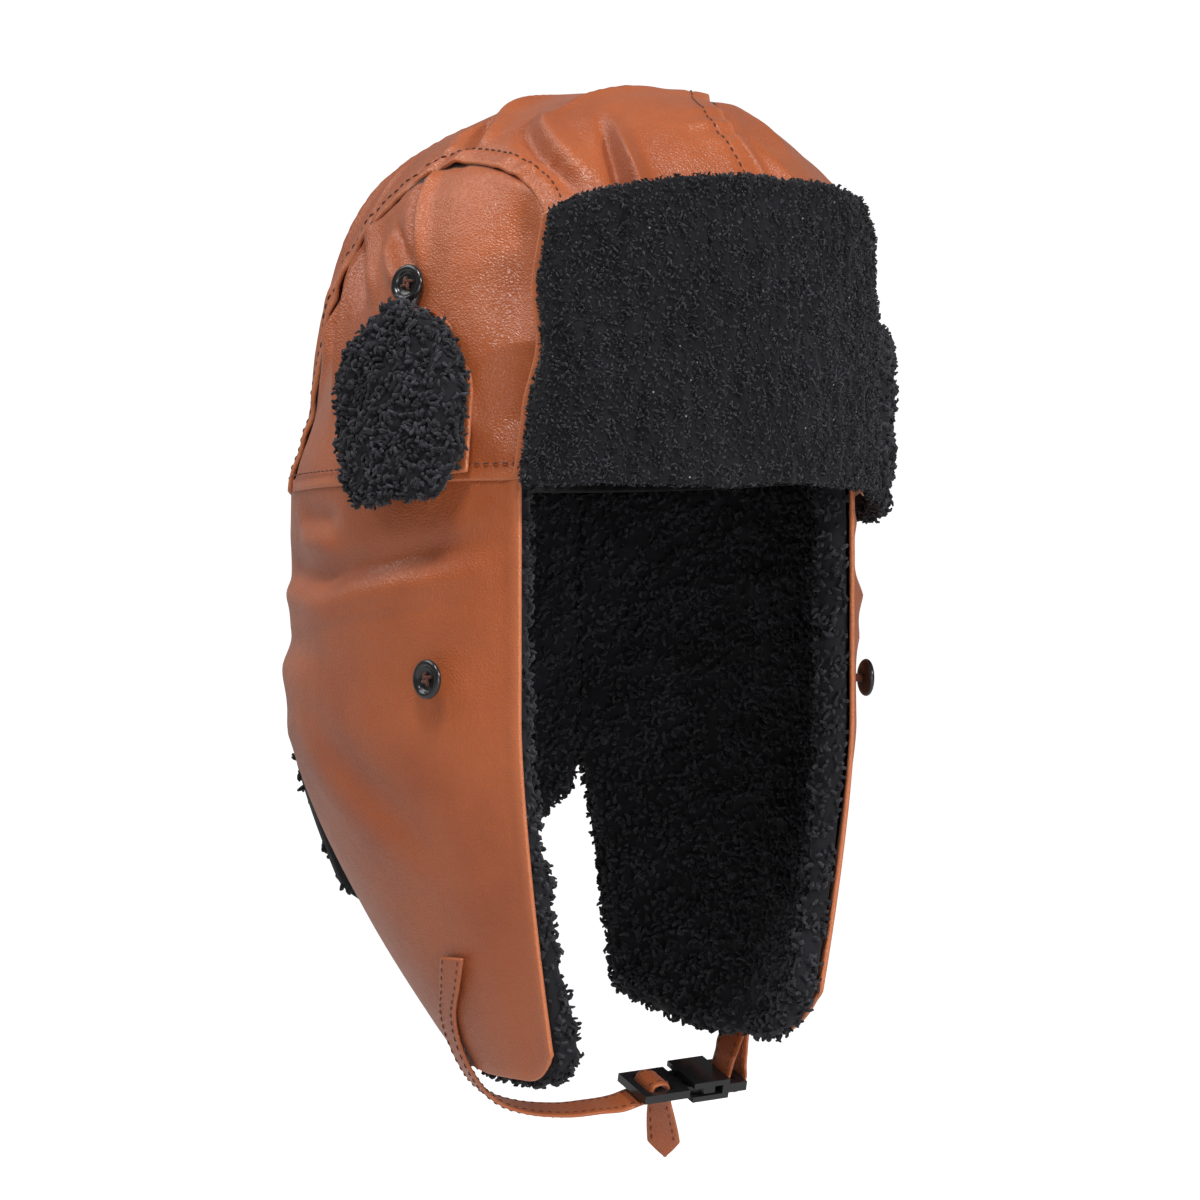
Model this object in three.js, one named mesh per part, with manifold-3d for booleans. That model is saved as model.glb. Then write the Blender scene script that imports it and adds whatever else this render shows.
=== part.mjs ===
// Trapper hat: leather crown with sherpa-lined folding flaps, buttoned ear tabs and a buckled chin strap.
// Millimetres, +Z up, the hat faces -Y and the wearer's left is +X.
// The origin is the centre of the head opening, level with the seam that joins crown and flaps.
import * as THREE from 'three';
import { mergeVertices } from 'three/addons/utils/BufferGeometryUtils.js';
import manifoldModule from 'manifold-3d';

const wasm = await manifoldModule();
wasm.setup();
const { Manifold, Mesh: ManifoldMesh } = wasm;

// ---------------------------------------------------------------- driving dimensions
const BAND_HALF_WIDTH = 90;
const BAND_HALF_LENGTH = 110;
const CROWN_HEIGHT = 137;
const CROWN_LEAN = [12, -4]; // how far the soft top slumps to the left and to the front
const LEATHER = 1.7;
const LAYER_GAP = 0.7;
const PILE = 10.5;
const LINING_OFFSET = -3.4;
const LINING_THICKNESS = 4.6;
const LINING_RING_STEPS = 32;
const SWEATBAND_OFFSET = -10;
const SWEATBAND_THICKNESS = 1.2;
const SWEATBAND_HEIGHT = [1.5, 26];
const SKIRT_TOP = -0.6;
const BAND_FLARE = 5; // the sides and back swell by this much where crown and flaps meet
const FLARE_ANGLES = [48, 82]; // from the front, where the swelling starts and is full
const FLARE_RISE = 28;
const EAR_ANGLES = [45.8, 143.1]; // from the front, where the ear flaps start and end
const EAR_LENGTHS = { right: 197, left: 192 };
// How the foot is rounded off: the rise and the share of the foot it takes, in front and behind.
const EAR_CORNERS = {
  right: { front: [9, 0.14], rear: [24, 0.65] },
  left: { front: [17, 0.34], rear: [12, 0.5] },
};
const EAR_BEND_START = 82; // the ear flaps curve inwards below this
const EAR_FOOT_FRONT = [49, -73];
const EAR_FOOT_REAR = [35, 22];
const EAR_FOOT_BOW = 10;
const NAPE_ANGLES = [143.9, 216.1];
const NAPE_LENGTH = 138;
const BROW_ANGLE = 44.5;
const BROW_STANDOFF = 3;
const BROW_TOP_HALF_WIDTH = 57;
const BROW_TOP_CORNER_Y = -91;
const BROW_TOP_BOW = 30;
const BROW_HEIGHT = 91;
const BROW_PILE = 9;
const TAB_ANGLE = 67.8;
const TAB_TILT = 5.5; // its tip leans this far to the back
const LOWER_BUTTON_ANGLE = 62.5;
const TAB_HALF_WIDTH = 26;
const TAB_HEIGHT = 56.5;
const TAB_BEND_RADIUS = 123;
const BUTTON_REACH = 64.5; // from the tab's fold to either button
const BUTTON_RADIUS = 6.4;
const BUTTON_THICKNESS = 2.6;
const BUTTON_HOLE_RADIUS = 0.85;
const BUTTON_HOLE_OFFSET = 1.5;
const BUTTON_STANDOFF = 2.9;
const SHANK_RADIUS = 1.6;
const STRAP_WIDTH = 12;
const STRAP_THICKNESS = 1.5;
const STRAP_SEWN_TOP = -158;
const BUCKLE_ORIGIN = [14.5, -14, -208.5];
const BUCKLE_ROLL = 20;
const BUCKLE_TILT = 4;
const BUCKLE_WIDTH = 19;

const RIGHT = -1;
const LEFT = 1;
const degrees = Math.PI / 180;

// ---------------------------------------------------------------- materials
function finish(colour, roughness) {
  return { color: colour, roughness, metalness: 0 };
}
const TAN_LEATHER = finish(0xad5f3a, 0.5);
const BLACK_PILE = finish(0x1b1b1e, 0.95);
const BLACK_SATIN = finish(0x141416, 0.45);
const BLACK_PLASTIC = finish(0x101012, 0.3);
const RUST_THREAD = finish(0x8a3f1e, 0.8);

// ---------------------------------------------------------------- mesh helpers
function closed(geometry) {
  for (const name of Object.keys(geometry.attributes)) {
    if (name !== 'position') geometry.deleteAttribute(name);
  }
  geometry.clearGroups();
  const merged = mergeVertices(geometry, 1e-3);
  const p = merged.attributes.position;
  const old = merged.index.array;
  const kept = [];
  let volume = 0;
  const [a, b, c] = [new THREE.Vector3(), new THREE.Vector3(), new THREE.Vector3()];
  for (let i = 0; i < old.length; i += 3) {
    const [i0, i1, i2] = [old[i], old[i + 1], old[i + 2]];
    if (i0 === i1 || i1 === i2 || i2 === i0) continue;
    kept.push(i0, i1, i2);
    a.fromBufferAttribute(p, i0);
    b.fromBufferAttribute(p, i1);
    c.fromBufferAttribute(p, i2);
    volume += a.dot(b.cross(c));
  }
  if (volume < 0) {
    for (let i = 0; i < kept.length; i += 3) [kept[i], kept[i + 1]] = [kept[i + 1], kept[i]];
  }
  merged.setIndex(kept);
  merged.computeVertexNormals();
  return merged;
}

// A closed slab of nu by nv by nw cells, each corner moved to place(u, v, w) with all three from 0 to 1.
function bentSlab(nu, nv, place, nw = 1) {
  const slab = new THREE.BoxGeometry(1, 1, 1, nu, nv, nw);
  const p = slab.attributes.position;
  for (let i = 0; i < p.count; i++) {
    const moved = place(p.getX(i) + 0.5, p.getY(i) + 0.5, p.getZ(i) + 0.5);
    p.setXYZ(i, moved.x, moved.y, moved.z);
  }
  return closed(slab);
}

function toManifold(geometry) {
  const whole = closed(geometry);
  return new Manifold(new ManifoldMesh({
    numProp: 3,
    vertProperties: new Float32Array(whole.attributes.position.array),
    triVerts: new Uint32Array(whole.index.array),
  }));
}

function fromManifold(solid) {
  const mesh = solid.getMesh();
  const geometry = new THREE.BufferGeometry();
  geometry.setAttribute('position', new THREE.Float32BufferAttribute(mesh.vertProperties, 3));
  geometry.setIndex([...mesh.triVerts]);
  return closed(geometry);
}

function block(low, high) {
  const size = high.map((h, i) => h - low[i]);
  const box = new THREE.BoxGeometry(...size);
  box.translate(...low.map((l, i) => l + size[i] / 2));
  return box;
}

const { lerp, smoothstep } = THREE.MathUtils;
const group = new THREE.Group();
group.name = 'trapper_hat';

function add(name, geometry, look) {
  const mesh = new THREE.Mesh(geometry, new THREE.MeshStandardMaterial(look));
  mesh.name = name;
  group.add(mesh);
  return mesh;
}

// ---------------------------------------------------------------- crown
function flareAt(t) {
  return BAND_FLARE * smoothstep(t / degrees, ...FLARE_ANGLES);
}

// The crown's surface in a direction from the origin, moved outwards by offset.
function domePoint(direction, offset) {
  const [a, b, c] = [BAND_HALF_WIDTH + offset, BAND_HALF_LENGTH + offset, CROWN_HEIGHT + offset];
  const flat = (direction.x / a) ** 2 + (direction.y / b) ** 2;
  const tall = (direction.z / c) ** 2;
  const reach = Math.sqrt(2 / (flat + Math.sqrt(flat * flat + 4 * tall * tall)));
  const p = direction.clone().multiplyScalar(reach);
  const t = Math.atan2(Math.abs(p.x) / a, -p.y / b);
  const swell = 1 + flareAt(t) * (1 - smoothstep(p.z, 0, FLARE_RISE)) / BAND_HALF_LENGTH;
  p.x = p.x * swell + CROWN_LEAN[0] * p.z / CROWN_HEIGHT;
  p.y = p.y * swell + CROWN_LEAN[1] * p.z / CROWN_HEIGHT;
  return p;
}

function directionOf(x, y, z) {
  return new THREE.Vector3(
    x - CROWN_LEAN[0] * z / CROWN_HEIGHT,
    y - CROWN_LEAN[1] * z / CROWN_HEIGHT,
    z,
  ).normalize();
}

function seam(points) {
  return new THREE.CatmullRomCurve3(points.map((p) => directionOf(...p)), false, 'centripetal');
}

const SEAMS = {
  [RIGHT]: seam([
    [-46, -94, 0], [-49, -88, 50], [-51, -68, 92], [-55, -50, 103], [-62, -24, 110], [-70, -8, 104],
    [-76, 8, 96], [-79, 21, 82], [-81, 32, 60], [-84, 41, 32], [-81.5, 47, 0],
  ]),
  [LEFT]: seam([
    [24, -106, 0], [16, -102, 50], [11, -89, 98], [11, -76, 116], [19, -54, 128], [38, -20, 132],
    [55, 4, 121], [68, 18, 105], [79, 29, 82], [84, 37, 60], [86, 43, 32], [82, 47, 0],
  ]),
};
const SEAM_CORNERS = { [RIGHT]: [0.2, 0.7], [LEFT]: [0.19, 0.72] };

function seamDirection(side, s) {
  return SEAMS[side].getPoint(THREE.MathUtils.clamp(s, 0, 1)).normalize();
}

function between(from, to, share) {
  const angle = from.angleTo(to);
  const part = (k) => Math.sin(k * angle) / Math.sin(angle);
  return from.clone().multiplyScalar(part(1 - share)).addScaledVector(to, part(share));
}

function bandDirection(side, u) {
  const [front, rear] = [seamDirection(side, 0), seamDirection(side, 1)];
  const angle = (d) => Math.atan2(Math.abs(d.x) / BAND_HALF_WIDTH, -d.y / BAND_HALF_LENGTH);
  const t = lerp(angle(front), angle(rear), u);
  return new THREE.Vector3(side * BAND_HALF_WIDTH * Math.sin(t), -BAND_HALF_LENGTH * Math.cos(t), 0)
    .normalize();
}

// A side panel fills the outline made of the band below and three stretches of its seam.
function sidePanelDirection(side, u, v) {
  const [frontCorner, rearCorner] = SEAM_CORNERS[side];
  const bottom = bandDirection(side, u);
  const top = seamDirection(side, lerp(frontCorner, rearCorner, u));
  const front = seamDirection(side, frontCorner * v);
  const rear = seamDirection(side, 1 - (1 - rearCorner) * v);
  const corner = (k) => seamDirection(side, k);
  const d = bottom.multiplyScalar(1 - v).addScaledVector(top, v)
    .addScaledVector(front, 1 - u).addScaledVector(rear, u)
    .addScaledVector(corner(0), -(1 - u) * (1 - v)).addScaledVector(corner(1), -u * (1 - v))
    .addScaledVector(corner(frontCorner), -(1 - u) * v).addScaledVector(corner(rearCorner), -u * v);
  return d.normalize();
}

const PANEL_INSET = 0.012; // keeps the edges of the crown's panels apart

function addCrown() {
  add('top_panel', bentSlab(24, 10, (u, v, w) => {
    const share = lerp(PANEL_INSET / 2, 1 - PANEL_INSET / 2, v);
    const d = between(seamDirection(RIGHT, u), seamDirection(LEFT, u), share);
    return domePoint(d, lerp(-LEATHER, 0, w));
  }), TAN_LEATHER);
  for (const [name, side] of [['side_panel_right', RIGHT], ['side_panel_left', LEFT]]) {
    add(name, bentSlab(13, 9, (u, v, w) => {
      const d = sidePanelDirection(
        side,
        lerp(PANEL_INSET, 1 - PANEL_INSET, u),
        lerp(0, 1 - PANEL_INSET, v),
      );
      return domePoint(d, lerp(-LEATHER, 0, w));
    }), TAN_LEATHER);
  }
  addLining();
  const [low, high] = SWEATBAND_HEIGHT;
  add('sweatband', ringWall(low, high, SWEATBAND_OFFSET, SWEATBAND_THICKNESS), BLACK_SATIN);
}

// The quilted lining is a closed dome shell: a lathed half profile stretched to the crown's ellipses.
function addLining() {
  const steps = 9;
  const lowest = 1.5;
  const profile = [];
  const arc = (offset, forwards) => {
    for (let i = 0; i <= steps; i++) {
      const k = forwards ? i / steps : 1 - i / steps;
      const height = CROWN_HEIGHT + offset;
      const s = Math.sin(lerp(Math.asin(lowest / height), Math.PI / 2, k));
      profile.push(new THREE.Vector2(Math.sqrt(Math.max(0, 1 - s ** 4)) * (100 + offset), s * height));
    }
  };
  arc(LINING_OFFSET, true);
  arc(LINING_OFFSET - LINING_THICKNESS, false);
  profile.push(profile[0].clone());
  const lathe = new THREE.LatheGeometry(profile, LINING_RING_STEPS);
  lathe.rotateX(Math.PI / 2);
  const p = lathe.attributes.position;
  for (let i = 0; i < p.count; i++) {
    const z = p.getZ(i);
    const x = p.getX(i) * BAND_HALF_WIDTH / 100 + CROWN_LEAN[0] * z / CROWN_HEIGHT;
    const y = p.getY(i) * BAND_HALF_LENGTH / 100 + CROWN_LEAN[1] * z / CROWN_HEIGHT;
    p.setXYZ(i, x, y, z);
  }
  add('crown_lining', closed(lathe), BLACK_SATIN);
}

function ringWall(low, high, offset, thickness) {
  return bentSlab(LINING_RING_STEPS, 1, (u, v, w) => {
    const t = u * 2 * Math.PI;
    const [a, b] = [BAND_HALF_WIDTH, BAND_HALF_LENGTH].map((r) => r + offset - thickness * (1 - w));
    const z = lerp(low, high, v);
    const [leanX, leanY] = CROWN_LEAN.map((l) => l * z / CROWN_HEIGHT);
    return new THREE.Vector3(a * Math.sin(t) + leanX, leanY - b * Math.cos(t), z);
  });
}

// ---------------------------------------------------------------- skirt: ear flaps and nape flap
function skirtArc(side, t, z, offset) {
  const swell = 1 + flareAt(t < Math.PI ? t : 2 * Math.PI - t) / BAND_HALF_LENGTH;
  return new THREE.Vector3(
    side * (BAND_HALF_WIDTH + offset) * swell * Math.sin(t),
    -(BAND_HALF_LENGTH + offset) * swell * Math.cos(t),
    z,
  );
}

function earFoot(side, u, z, offset) {
  const [[fx, fy], [rx, ry]] = [EAR_FOOT_FRONT, EAR_FOOT_REAR];
  const length = Math.hypot(rx - fx, ry - fy);
  const out = offset + EAR_FOOT_BOW * 4 * u * (1 - u);
  return new THREE.Vector3(
    side * (lerp(fx, rx, u) + out * (ry - fy) / length),
    lerp(fy, ry, u) - out * (rx - fx) / length,
    z,
  );
}

function earSurface(side, u, z, offset) {
  const t = lerp(EAR_ANGLES[0], EAR_ANGLES[1], u) * degrees;
  const bend = Math.max(0, (-z - EAR_BEND_START) / (EAR_LENGTHS.right - EAR_BEND_START)) ** 1.4;
  return skirtArc(side, t, z, offset).lerp(earFoot(side, u, z, offset), bend);
}

// The foot's outline: nearly level, rounded off in front and more widely behind.
function earBottom(name, u) {
  const { front, rear } = EAR_CORNERS[name];
  return -EAR_LENGTHS[name]
    + front[0] * Math.max(0, 1 - u / front[1]) ** 2
    + rear[0] * Math.max(0, 1 - (1 - u) / rear[1]) ** 2.2;
}

function earSlab(name, side, uRange, overhang, outer, inner) {
  return bentSlab(13, 13, (u, v, w) => {
    const across = lerp(uRange[0], uRange[1], u);
    const foot = earBottom(name, THREE.MathUtils.clamp(across, 0, 1)) - overhang;
    const depth = lerp(inner, outer, w) * lerp(outer / inner, 1, lerp(0.72, 1, v) ** (1 - w));
    return earSurface(side, across, lerp(foot, SKIRT_TOP, v), depth);
  });
}

function napeBottom(u) {
  return -NAPE_LENGTH + 26 * Math.abs(2 * u - 1) ** 3;
}

function napeSlab(overhang, inset, outer, inner) {
  return bentSlab(12, 8, (u, v, w) => {
    const z = lerp(napeBottom(u) - overhang, SKIRT_TOP, v);
    const narrowing = 1 - 0.2 * Math.max(0, (-z - 92) / 36) ** 1.3;
    const half = ((NAPE_ANGLES[1] - NAPE_ANGLES[0]) / 2 - inset) * narrowing;
    const t = (180 + half * (2 * u - 1)) * degrees;
    return skirtArc(LEFT, t, z, lerp(inner, outer, w));
  });
}

const PILE_OUTER = -LEATHER - LAYER_GAP;
const PILE_INNER = PILE_OUTER - PILE;
const PILE_OVERHANG = 3.5;

function addSkirt() {
  for (const [name, side] of [['right', RIGHT], ['left', LEFT]]) {
    add(`${name}_ear_flap_leather`, earSlab(name, side, [0, 1], 0, 0, -LEATHER), TAN_LEATHER);
    add(`${name}_ear_flap_sherpa`,
      earSlab(name, side, [-0.02, 0.998], PILE_OVERHANG, PILE_OUTER, PILE_INNER), BLACK_PILE);
  }
  add('nape_flap_leather', napeSlab(0, 0, 0, -LEATHER), TAN_LEATHER);
  add('nape_flap_sherpa', napeSlab(PILE_OVERHANG, 0.1, PILE_OUTER, PILE_INNER), BLACK_PILE);
}

// ---------------------------------------------------------------- front flap
function browPoint(u, v, z, offset) {
  const t = lerp(-BROW_ANGLE, BROW_ANGLE, u) * degrees;
  const k = 2 * u - 1;
  const low = new THREE.Vector2(
    (BAND_HALF_WIDTH + BROW_STANDOFF) * Math.sin(t),
    -(BAND_HALF_LENGTH + BROW_STANDOFF) * Math.cos(t),
  );
  const high = new THREE.Vector2(BROW_TOP_HALF_WIDTH * k, BROW_TOP_CORNER_Y - BROW_TOP_BOW * (1 - k * k));
  const p = low.lerp(high, v);
  const out = new THREE.Vector2(0.25 * k, -1).normalize();
  return new THREE.Vector3(p.x + out.x * offset, p.y + out.y * offset, z);
}

function browSlab(outer, inner, low, rise) {
  return bentSlab(14, 6, (u, v, w) => {
    const top = BROW_HEIGHT + rise - 5 * (2 * u - 1) ** 2;
    return browPoint(u, v, lerp(low, top, v), lerp(inner, outer, w));
  });
}

function addFrontFlap() {
  const pileBack = LEATHER + LAYER_GAP;
  add('front_flap_leather', browSlab(LEATHER, 0, 0.8, 0), TAN_LEATHER);
  add('front_flap_sherpa', browSlab(pileBack + BROW_PILE, pileBack, -2.5, 2), BLACK_PILE);
}

// ---------------------------------------------------------------- ear tabs and buttons
function tabFrame(side) {
  const t = TAB_ANGLE * degrees;
  const reach = 10 * degrees;
  const [front, flat, rear] = [t - reach, t, t + reach].map((a) => skirtArc(side, a, 0, 0));
  const high = domePoint(directionOf(flat.x, flat.y, TAB_HEIGHT), 0);
  const up = new THREE.Vector3(high.x - flat.x, high.y - flat.y, high.z).normalize();
  const along = rear.sub(front).normalize();
  const out = along.clone().cross(up).multiplyScalar(side).normalize();
  for (const d of [up, along]) d.applyAxisAngle(out, -side * TAB_TILT * degrees);
  return { origin: flat, up, along, out };
}

function inFrame(frame, along, up, out) {
  return frame.origin.clone()
    .addScaledVector(frame.along, along)
    .addScaledVector(frame.up, up)
    .addScaledVector(frame.out, out);
}

// A tongue with a round end: straight sides up to the shoulder, then a half superellipse.
function tabHalfWidth(h, grow) {
  const shoulder = TAB_HEIGHT * 0.42;
  const k = Math.min(1, Math.max(0, (h - shoulder) / (TAB_HEIGHT - shoulder)));
  const taper = lerp(0.94, 1, Math.min(1, h / shoulder));
  return (TAB_HALF_WIDTH + grow) * taper * Math.sqrt(1 - 0.86 * k ** 2.4);
}

function tabSlab(frame, grow, low, outerAt, innerAt) {
  return bentSlab(8, 8, (u, v, w) => {
    const k = 2 * u - 1;
    const h = lerp(low, TAB_HEIGHT + grow, v) - 3 * k * k * v * v;
    const x = k * tabHalfWidth(lerp(low, TAB_HEIGHT, v), grow);
    const sag = x * x / (2 * TAB_BEND_RADIUS);
    return inFrame(frame, x, h, lerp(innerAt(h), outerAt(h), w) - sag);
  });
}

function pileHeight(h) {
  return 5 + 5.6 * THREE.MathUtils.smoothstep(h, 2, 22);
}

function circlePoints(x, y, radius, count) {
  return Array.from({ length: count }, (_, i) => {
    const angle = 2 * Math.PI * i / count;
    return new THREE.Vector2(x + radius * Math.cos(angle), y + radius * Math.sin(angle));
  });
}

function buttonGeometry() {
  const disc = new THREE.Shape(circlePoints(0, 0, BUTTON_RADIUS, 24));
  for (const angle of [45, 135, 225, 315]) {
    const [x, y] = [Math.cos, Math.sin].map((f) => BUTTON_HOLE_OFFSET * f(angle * degrees));
    disc.holes.push(new THREE.Path(circlePoints(x, y, BUTTON_HOLE_RADIUS, 6).reverse()));
  }
  return new THREE.ExtrudeGeometry(disc, { depth: BUTTON_THICKNESS, bevelEnabled: false });
}

function shankGeometry() {
  const height = BUTTON_STANDOFF - 0.6;
  const shank = new THREE.CylinderGeometry(SHANK_RADIUS, SHANK_RADIUS, height, 12);
  shank.rotateX(Math.PI / 2);
  shank.translate(0, 0, 0.3 + height / 2);
  return shank;
}

function atPoint(geometry, point, out) {
  const turn = new THREE.Quaternion().setFromUnitVectors(new THREE.Vector3(0, 0, 1), out);
  geometry.applyQuaternion(turn);
  geometry.translate(point.x, point.y, point.z);
  return closed(geometry);
}

function addButton(name, point, out) {
  const disc = buttonGeometry();
  disc.translate(0, 0, BUTTON_STANDOFF);
  add(`${name}_button`, atPoint(disc, point, out), BLACK_PLASTIC);
  add(`${name}_button_thread`, atPoint(shankGeometry(), point, out), RUST_THREAD);
}

function onCrown(point) {
  return domePoint(directionOf(point.x, point.y, point.z), 0);
}

// A thin elastic loop at the tab's tip that hooks round the shank of either button.
function addTabLoop(name, frame) {
  const height = 1.35;
  const outline = [
    [-2.6, -3.9], [-3.6, -1.5], [-3.3, 1.5], [0, 3.7], [3.3, 1.5], [3.6, -1.5], [2.6, -3.9],
  ].map(([x, h]) => onCrown(inFrame(frame, x, BUTTON_REACH + h, 0)).addScaledVector(frame.out, height));
  const circle = new THREE.Shape(circlePoints(0, 0, 0.75, 6));
  const cord = new THREE.ExtrudeGeometry(circle, {
    steps: 14, extrudePath: new THREE.CatmullRomCurve3(outline),
  });
  add(`${name}_tab_loop`, closed(cord), BLACK_SATIN);
}

function addTabs() {
  const buttonShare = (LOWER_BUTTON_ANGLE - EAR_ANGLES[0]) / (EAR_ANGLES[1] - EAR_ANGLES[0]);
  for (const [name, side] of [['right', RIGHT], ['left', LEFT]]) {
    const frame = tabFrame(side);
    const leatherBack = 2.8;
    const pileBack = leatherBack + LEATHER + LAYER_GAP;
    add(`${name}_tab_leather`,
      tabSlab(frame, 0, 2.5, () => leatherBack + LEATHER, () => leatherBack), TAN_LEATHER);
    add(`${name}_tab_sherpa`,
      tabSlab(frame, 0.8, 3, (h) => Math.max(pileBack + 1, pileHeight(h)), () => pileBack), BLACK_PILE);
    addTabLoop(name, frame);
    addButton(`${name}_upper`, onCrown(inFrame(frame, 0, BUTTON_REACH, 0)), frame.out);
    const lower = earSurface(side, buttonShare, -BUTTON_REACH - 2, 0);
    const flat = frame.out.clone().setZ(0).normalize();
    addButton(`${name}_lower`, lower, flat);
  }
}

// ---------------------------------------------------------------- chin strap and buckle
// A flat strap along a smooth curve; each stop gives a point and the direction of the strap's width.
function ribbon(stops, width, steps) {
  const centre = new THREE.CatmullRomCurve3(stops.map((s) => s.point), false, 'centripetal');
  const sideways = new THREE.CatmullRomCurve3(stops.map((s) => s.across), false, 'centripetal');
  return bentSlab(steps, 1, (u, v, w) => {
    const p = centre.getPoint(u);
    const across = sideways.getPoint(u).normalize();
    const normal = centre.getTangent(u).cross(across).normalize();
    const half = typeof width === 'function' ? width(u) : width / 2;
    return p.addScaledVector(across, (2 * v - 1) * half)
      .addScaledVector(normal, (w - 0.5) * STRAP_THICKNESS);
  });
}

const buckleTurn = new THREE.Matrix4().makeRotationY(-BUCKLE_TILT * degrees)
  .multiply(new THREE.Matrix4().makeRotationX(BUCKLE_ROLL * degrees))
  .setPosition(...BUCKLE_ORIGIN);
const buckleAcross = new THREE.Vector3(0, 1, 0).transformDirection(buckleTurn);

function inBuckle(x, z, y = 0) {
  return { point: new THREE.Vector3(x, y, z).applyMatrix4(buckleTurn), across: buckleAcross.clone() };
}

function onEar(side, u, z, offset) {
  const point = earSurface(side, u, z, offset);
  const ahead = earSurface(side, u + 0.05, z, offset);
  return { point, across: ahead.sub(point).normalize() };
}

function addChinStrap() {
  const lift = 0.35 + STRAP_THICKNESS / 2;
  const free = (x, y, z) => ({ point: new THREE.Vector3(x, y, z), across: new THREE.Vector3(0, 0.96, 0.28) });
  const stops = [
    onEar(RIGHT, 0.27, STRAP_SEWN_TOP, lift),
    onEar(RIGHT, 0.33, -168, lift),
    onEar(RIGHT, 0.42, -178, lift + 0.2),
    onEar(RIGHT, 0.49, -188, lift + 0.6),
    onEar(RIGHT, 0.53, -197, lift + 1),
    free(-46.5, -17, -204), free(-39, -16, -209), free(-28, -15, -212.3), free(-14, -14.5, -214),
    free(-1, -14, -213.8),
    inBuckle(-5, -4.8), inBuckle(0, -3.6), inBuckle(3.4, -2.6), inBuckle(4.6, -0.9), inBuckle(4.8, 0.9),
    inBuckle(5.6, 2.5), inBuckle(8.2, 3.2), inBuckle(10.8, 2.5), inBuckle(11.6, 0.9), inBuckle(11.8, -1.2),
    inBuckle(12.3, -5), inBuckle(13.6, -12), inBuckle(15.4, -20), inBuckle(17.6, -28.5),
  ];
  const tipShare = 0.035;
  const halfWidth = (u) => STRAP_WIDTH / 2 * Math.min(1, 0.12 + (1 - u) / tipShare);
  add('chin_strap', ribbon(stops, halfWidth, 84), TAN_LEATHER);
}

// The short strap sewn outside the left ear flap, looped round the socket's end bar.
function addSocketStrap() {
  const outerLift = 1.2 + STRAP_THICKNESS * 1.5;
  const innerLift = 0.7 + STRAP_THICKNESS / 2;
  const stops = [
    onEar(LEFT, 0.4, -166, outerLift), onEar(LEFT, 0.48, -176, outerLift), onEar(LEFT, 0.55, -185, outerLift),
    onEar(LEFT, 0.58, -192, outerLift + 1.2),
    inBuckle(42.4, 5), inBuckle(43, 1.2), inBuckle(42, -2.4), inBuckle(39.4, -3.6), inBuckle(37, -2.6),
    inBuckle(36, 0), inBuckle(36.2, 3.2), inBuckle(36.8, 7),
    onEar(LEFT, 0.57, -192, innerLift), onEar(LEFT, 0.53, -184, innerLift),
    onEar(LEFT, 0.47, -176, innerLift),
  ];
  add('socket_strap', ribbon(stops, STRAP_WIDTH, 60), TAN_LEATHER);
}

function placed(geometry) {
  geometry.applyMatrix4(buckleTurn);
  return closed(geometry);
}

function addBuckle() {
  const half = BUCKLE_WIDTH / 2;
  const slotHalf = STRAP_WIDTH / 2 + 0.9;
  const through = (from, to) => toManifold(block([from, -slotHalf, -6], [to, slotHalf, 6]));
  const frame = toManifold(block([0, -half, -1.5], [18, half, 1.5]));
  const tongue = toManifold(block([17.5, -2, -1.2], [28.5, 2, 1.2]));
  const plug = frame.subtract(through(2.9, 6.6)).subtract(through(9.8, 13.4)).add(tongue);
  add('buckle_plug', placed(fromManifold(plug)), BLACK_PLASTIC);
  for (const [name, side] of [['front', -1], ['rear', 1]]) {
    const arm = new THREE.Shape([
      [18.4, 4.4], [23, 4.8], [29.6, 5.5], [30.1, 6.8], [28.6, 8.8], [24.2, 8.8], [22.9, 7.1], [18.4, 6.6],
    ].map(([x, y]) => new THREE.Vector2(x, side * y)));
    const prong = new THREE.ExtrudeGeometry(arm, { depth: 2.4, bevelEnabled: false });
    prong.translate(0, 0, -1.2);
    add(`buckle_prong_${name}`, placed(prong), BLACK_PLASTIC);
  }
  const shell = toManifold(block([19.6, -half, -3.6], [41.2, half, 3.6]));
  const cavity = toManifold(block([19, -half - 1, -1.6], [31.4, half + 1, 1.6]));
  const thinned = [[1.7, 5], [-5, -1.7]].map(([a, b]) => toManifold(block([34, -half - 1, a], [42, half + 1, b])));
  const socket = [cavity, through(34.2, 38.2), ...thinned].reduce((solid, cut) => solid.subtract(cut), shell);
  add('buckle_socket', placed(fromManifold(socket)), BLACK_PLASTIC);
}

addCrown();
addSkirt();
addFrontFlap();
addTabs();
addChinStrap();
addSocketStrap();
addBuckle();

export default group;
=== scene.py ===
"""Trapper hat: the looks built round the fixed frame. Lengths inside the functions are millimetres."""
import math

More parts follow.
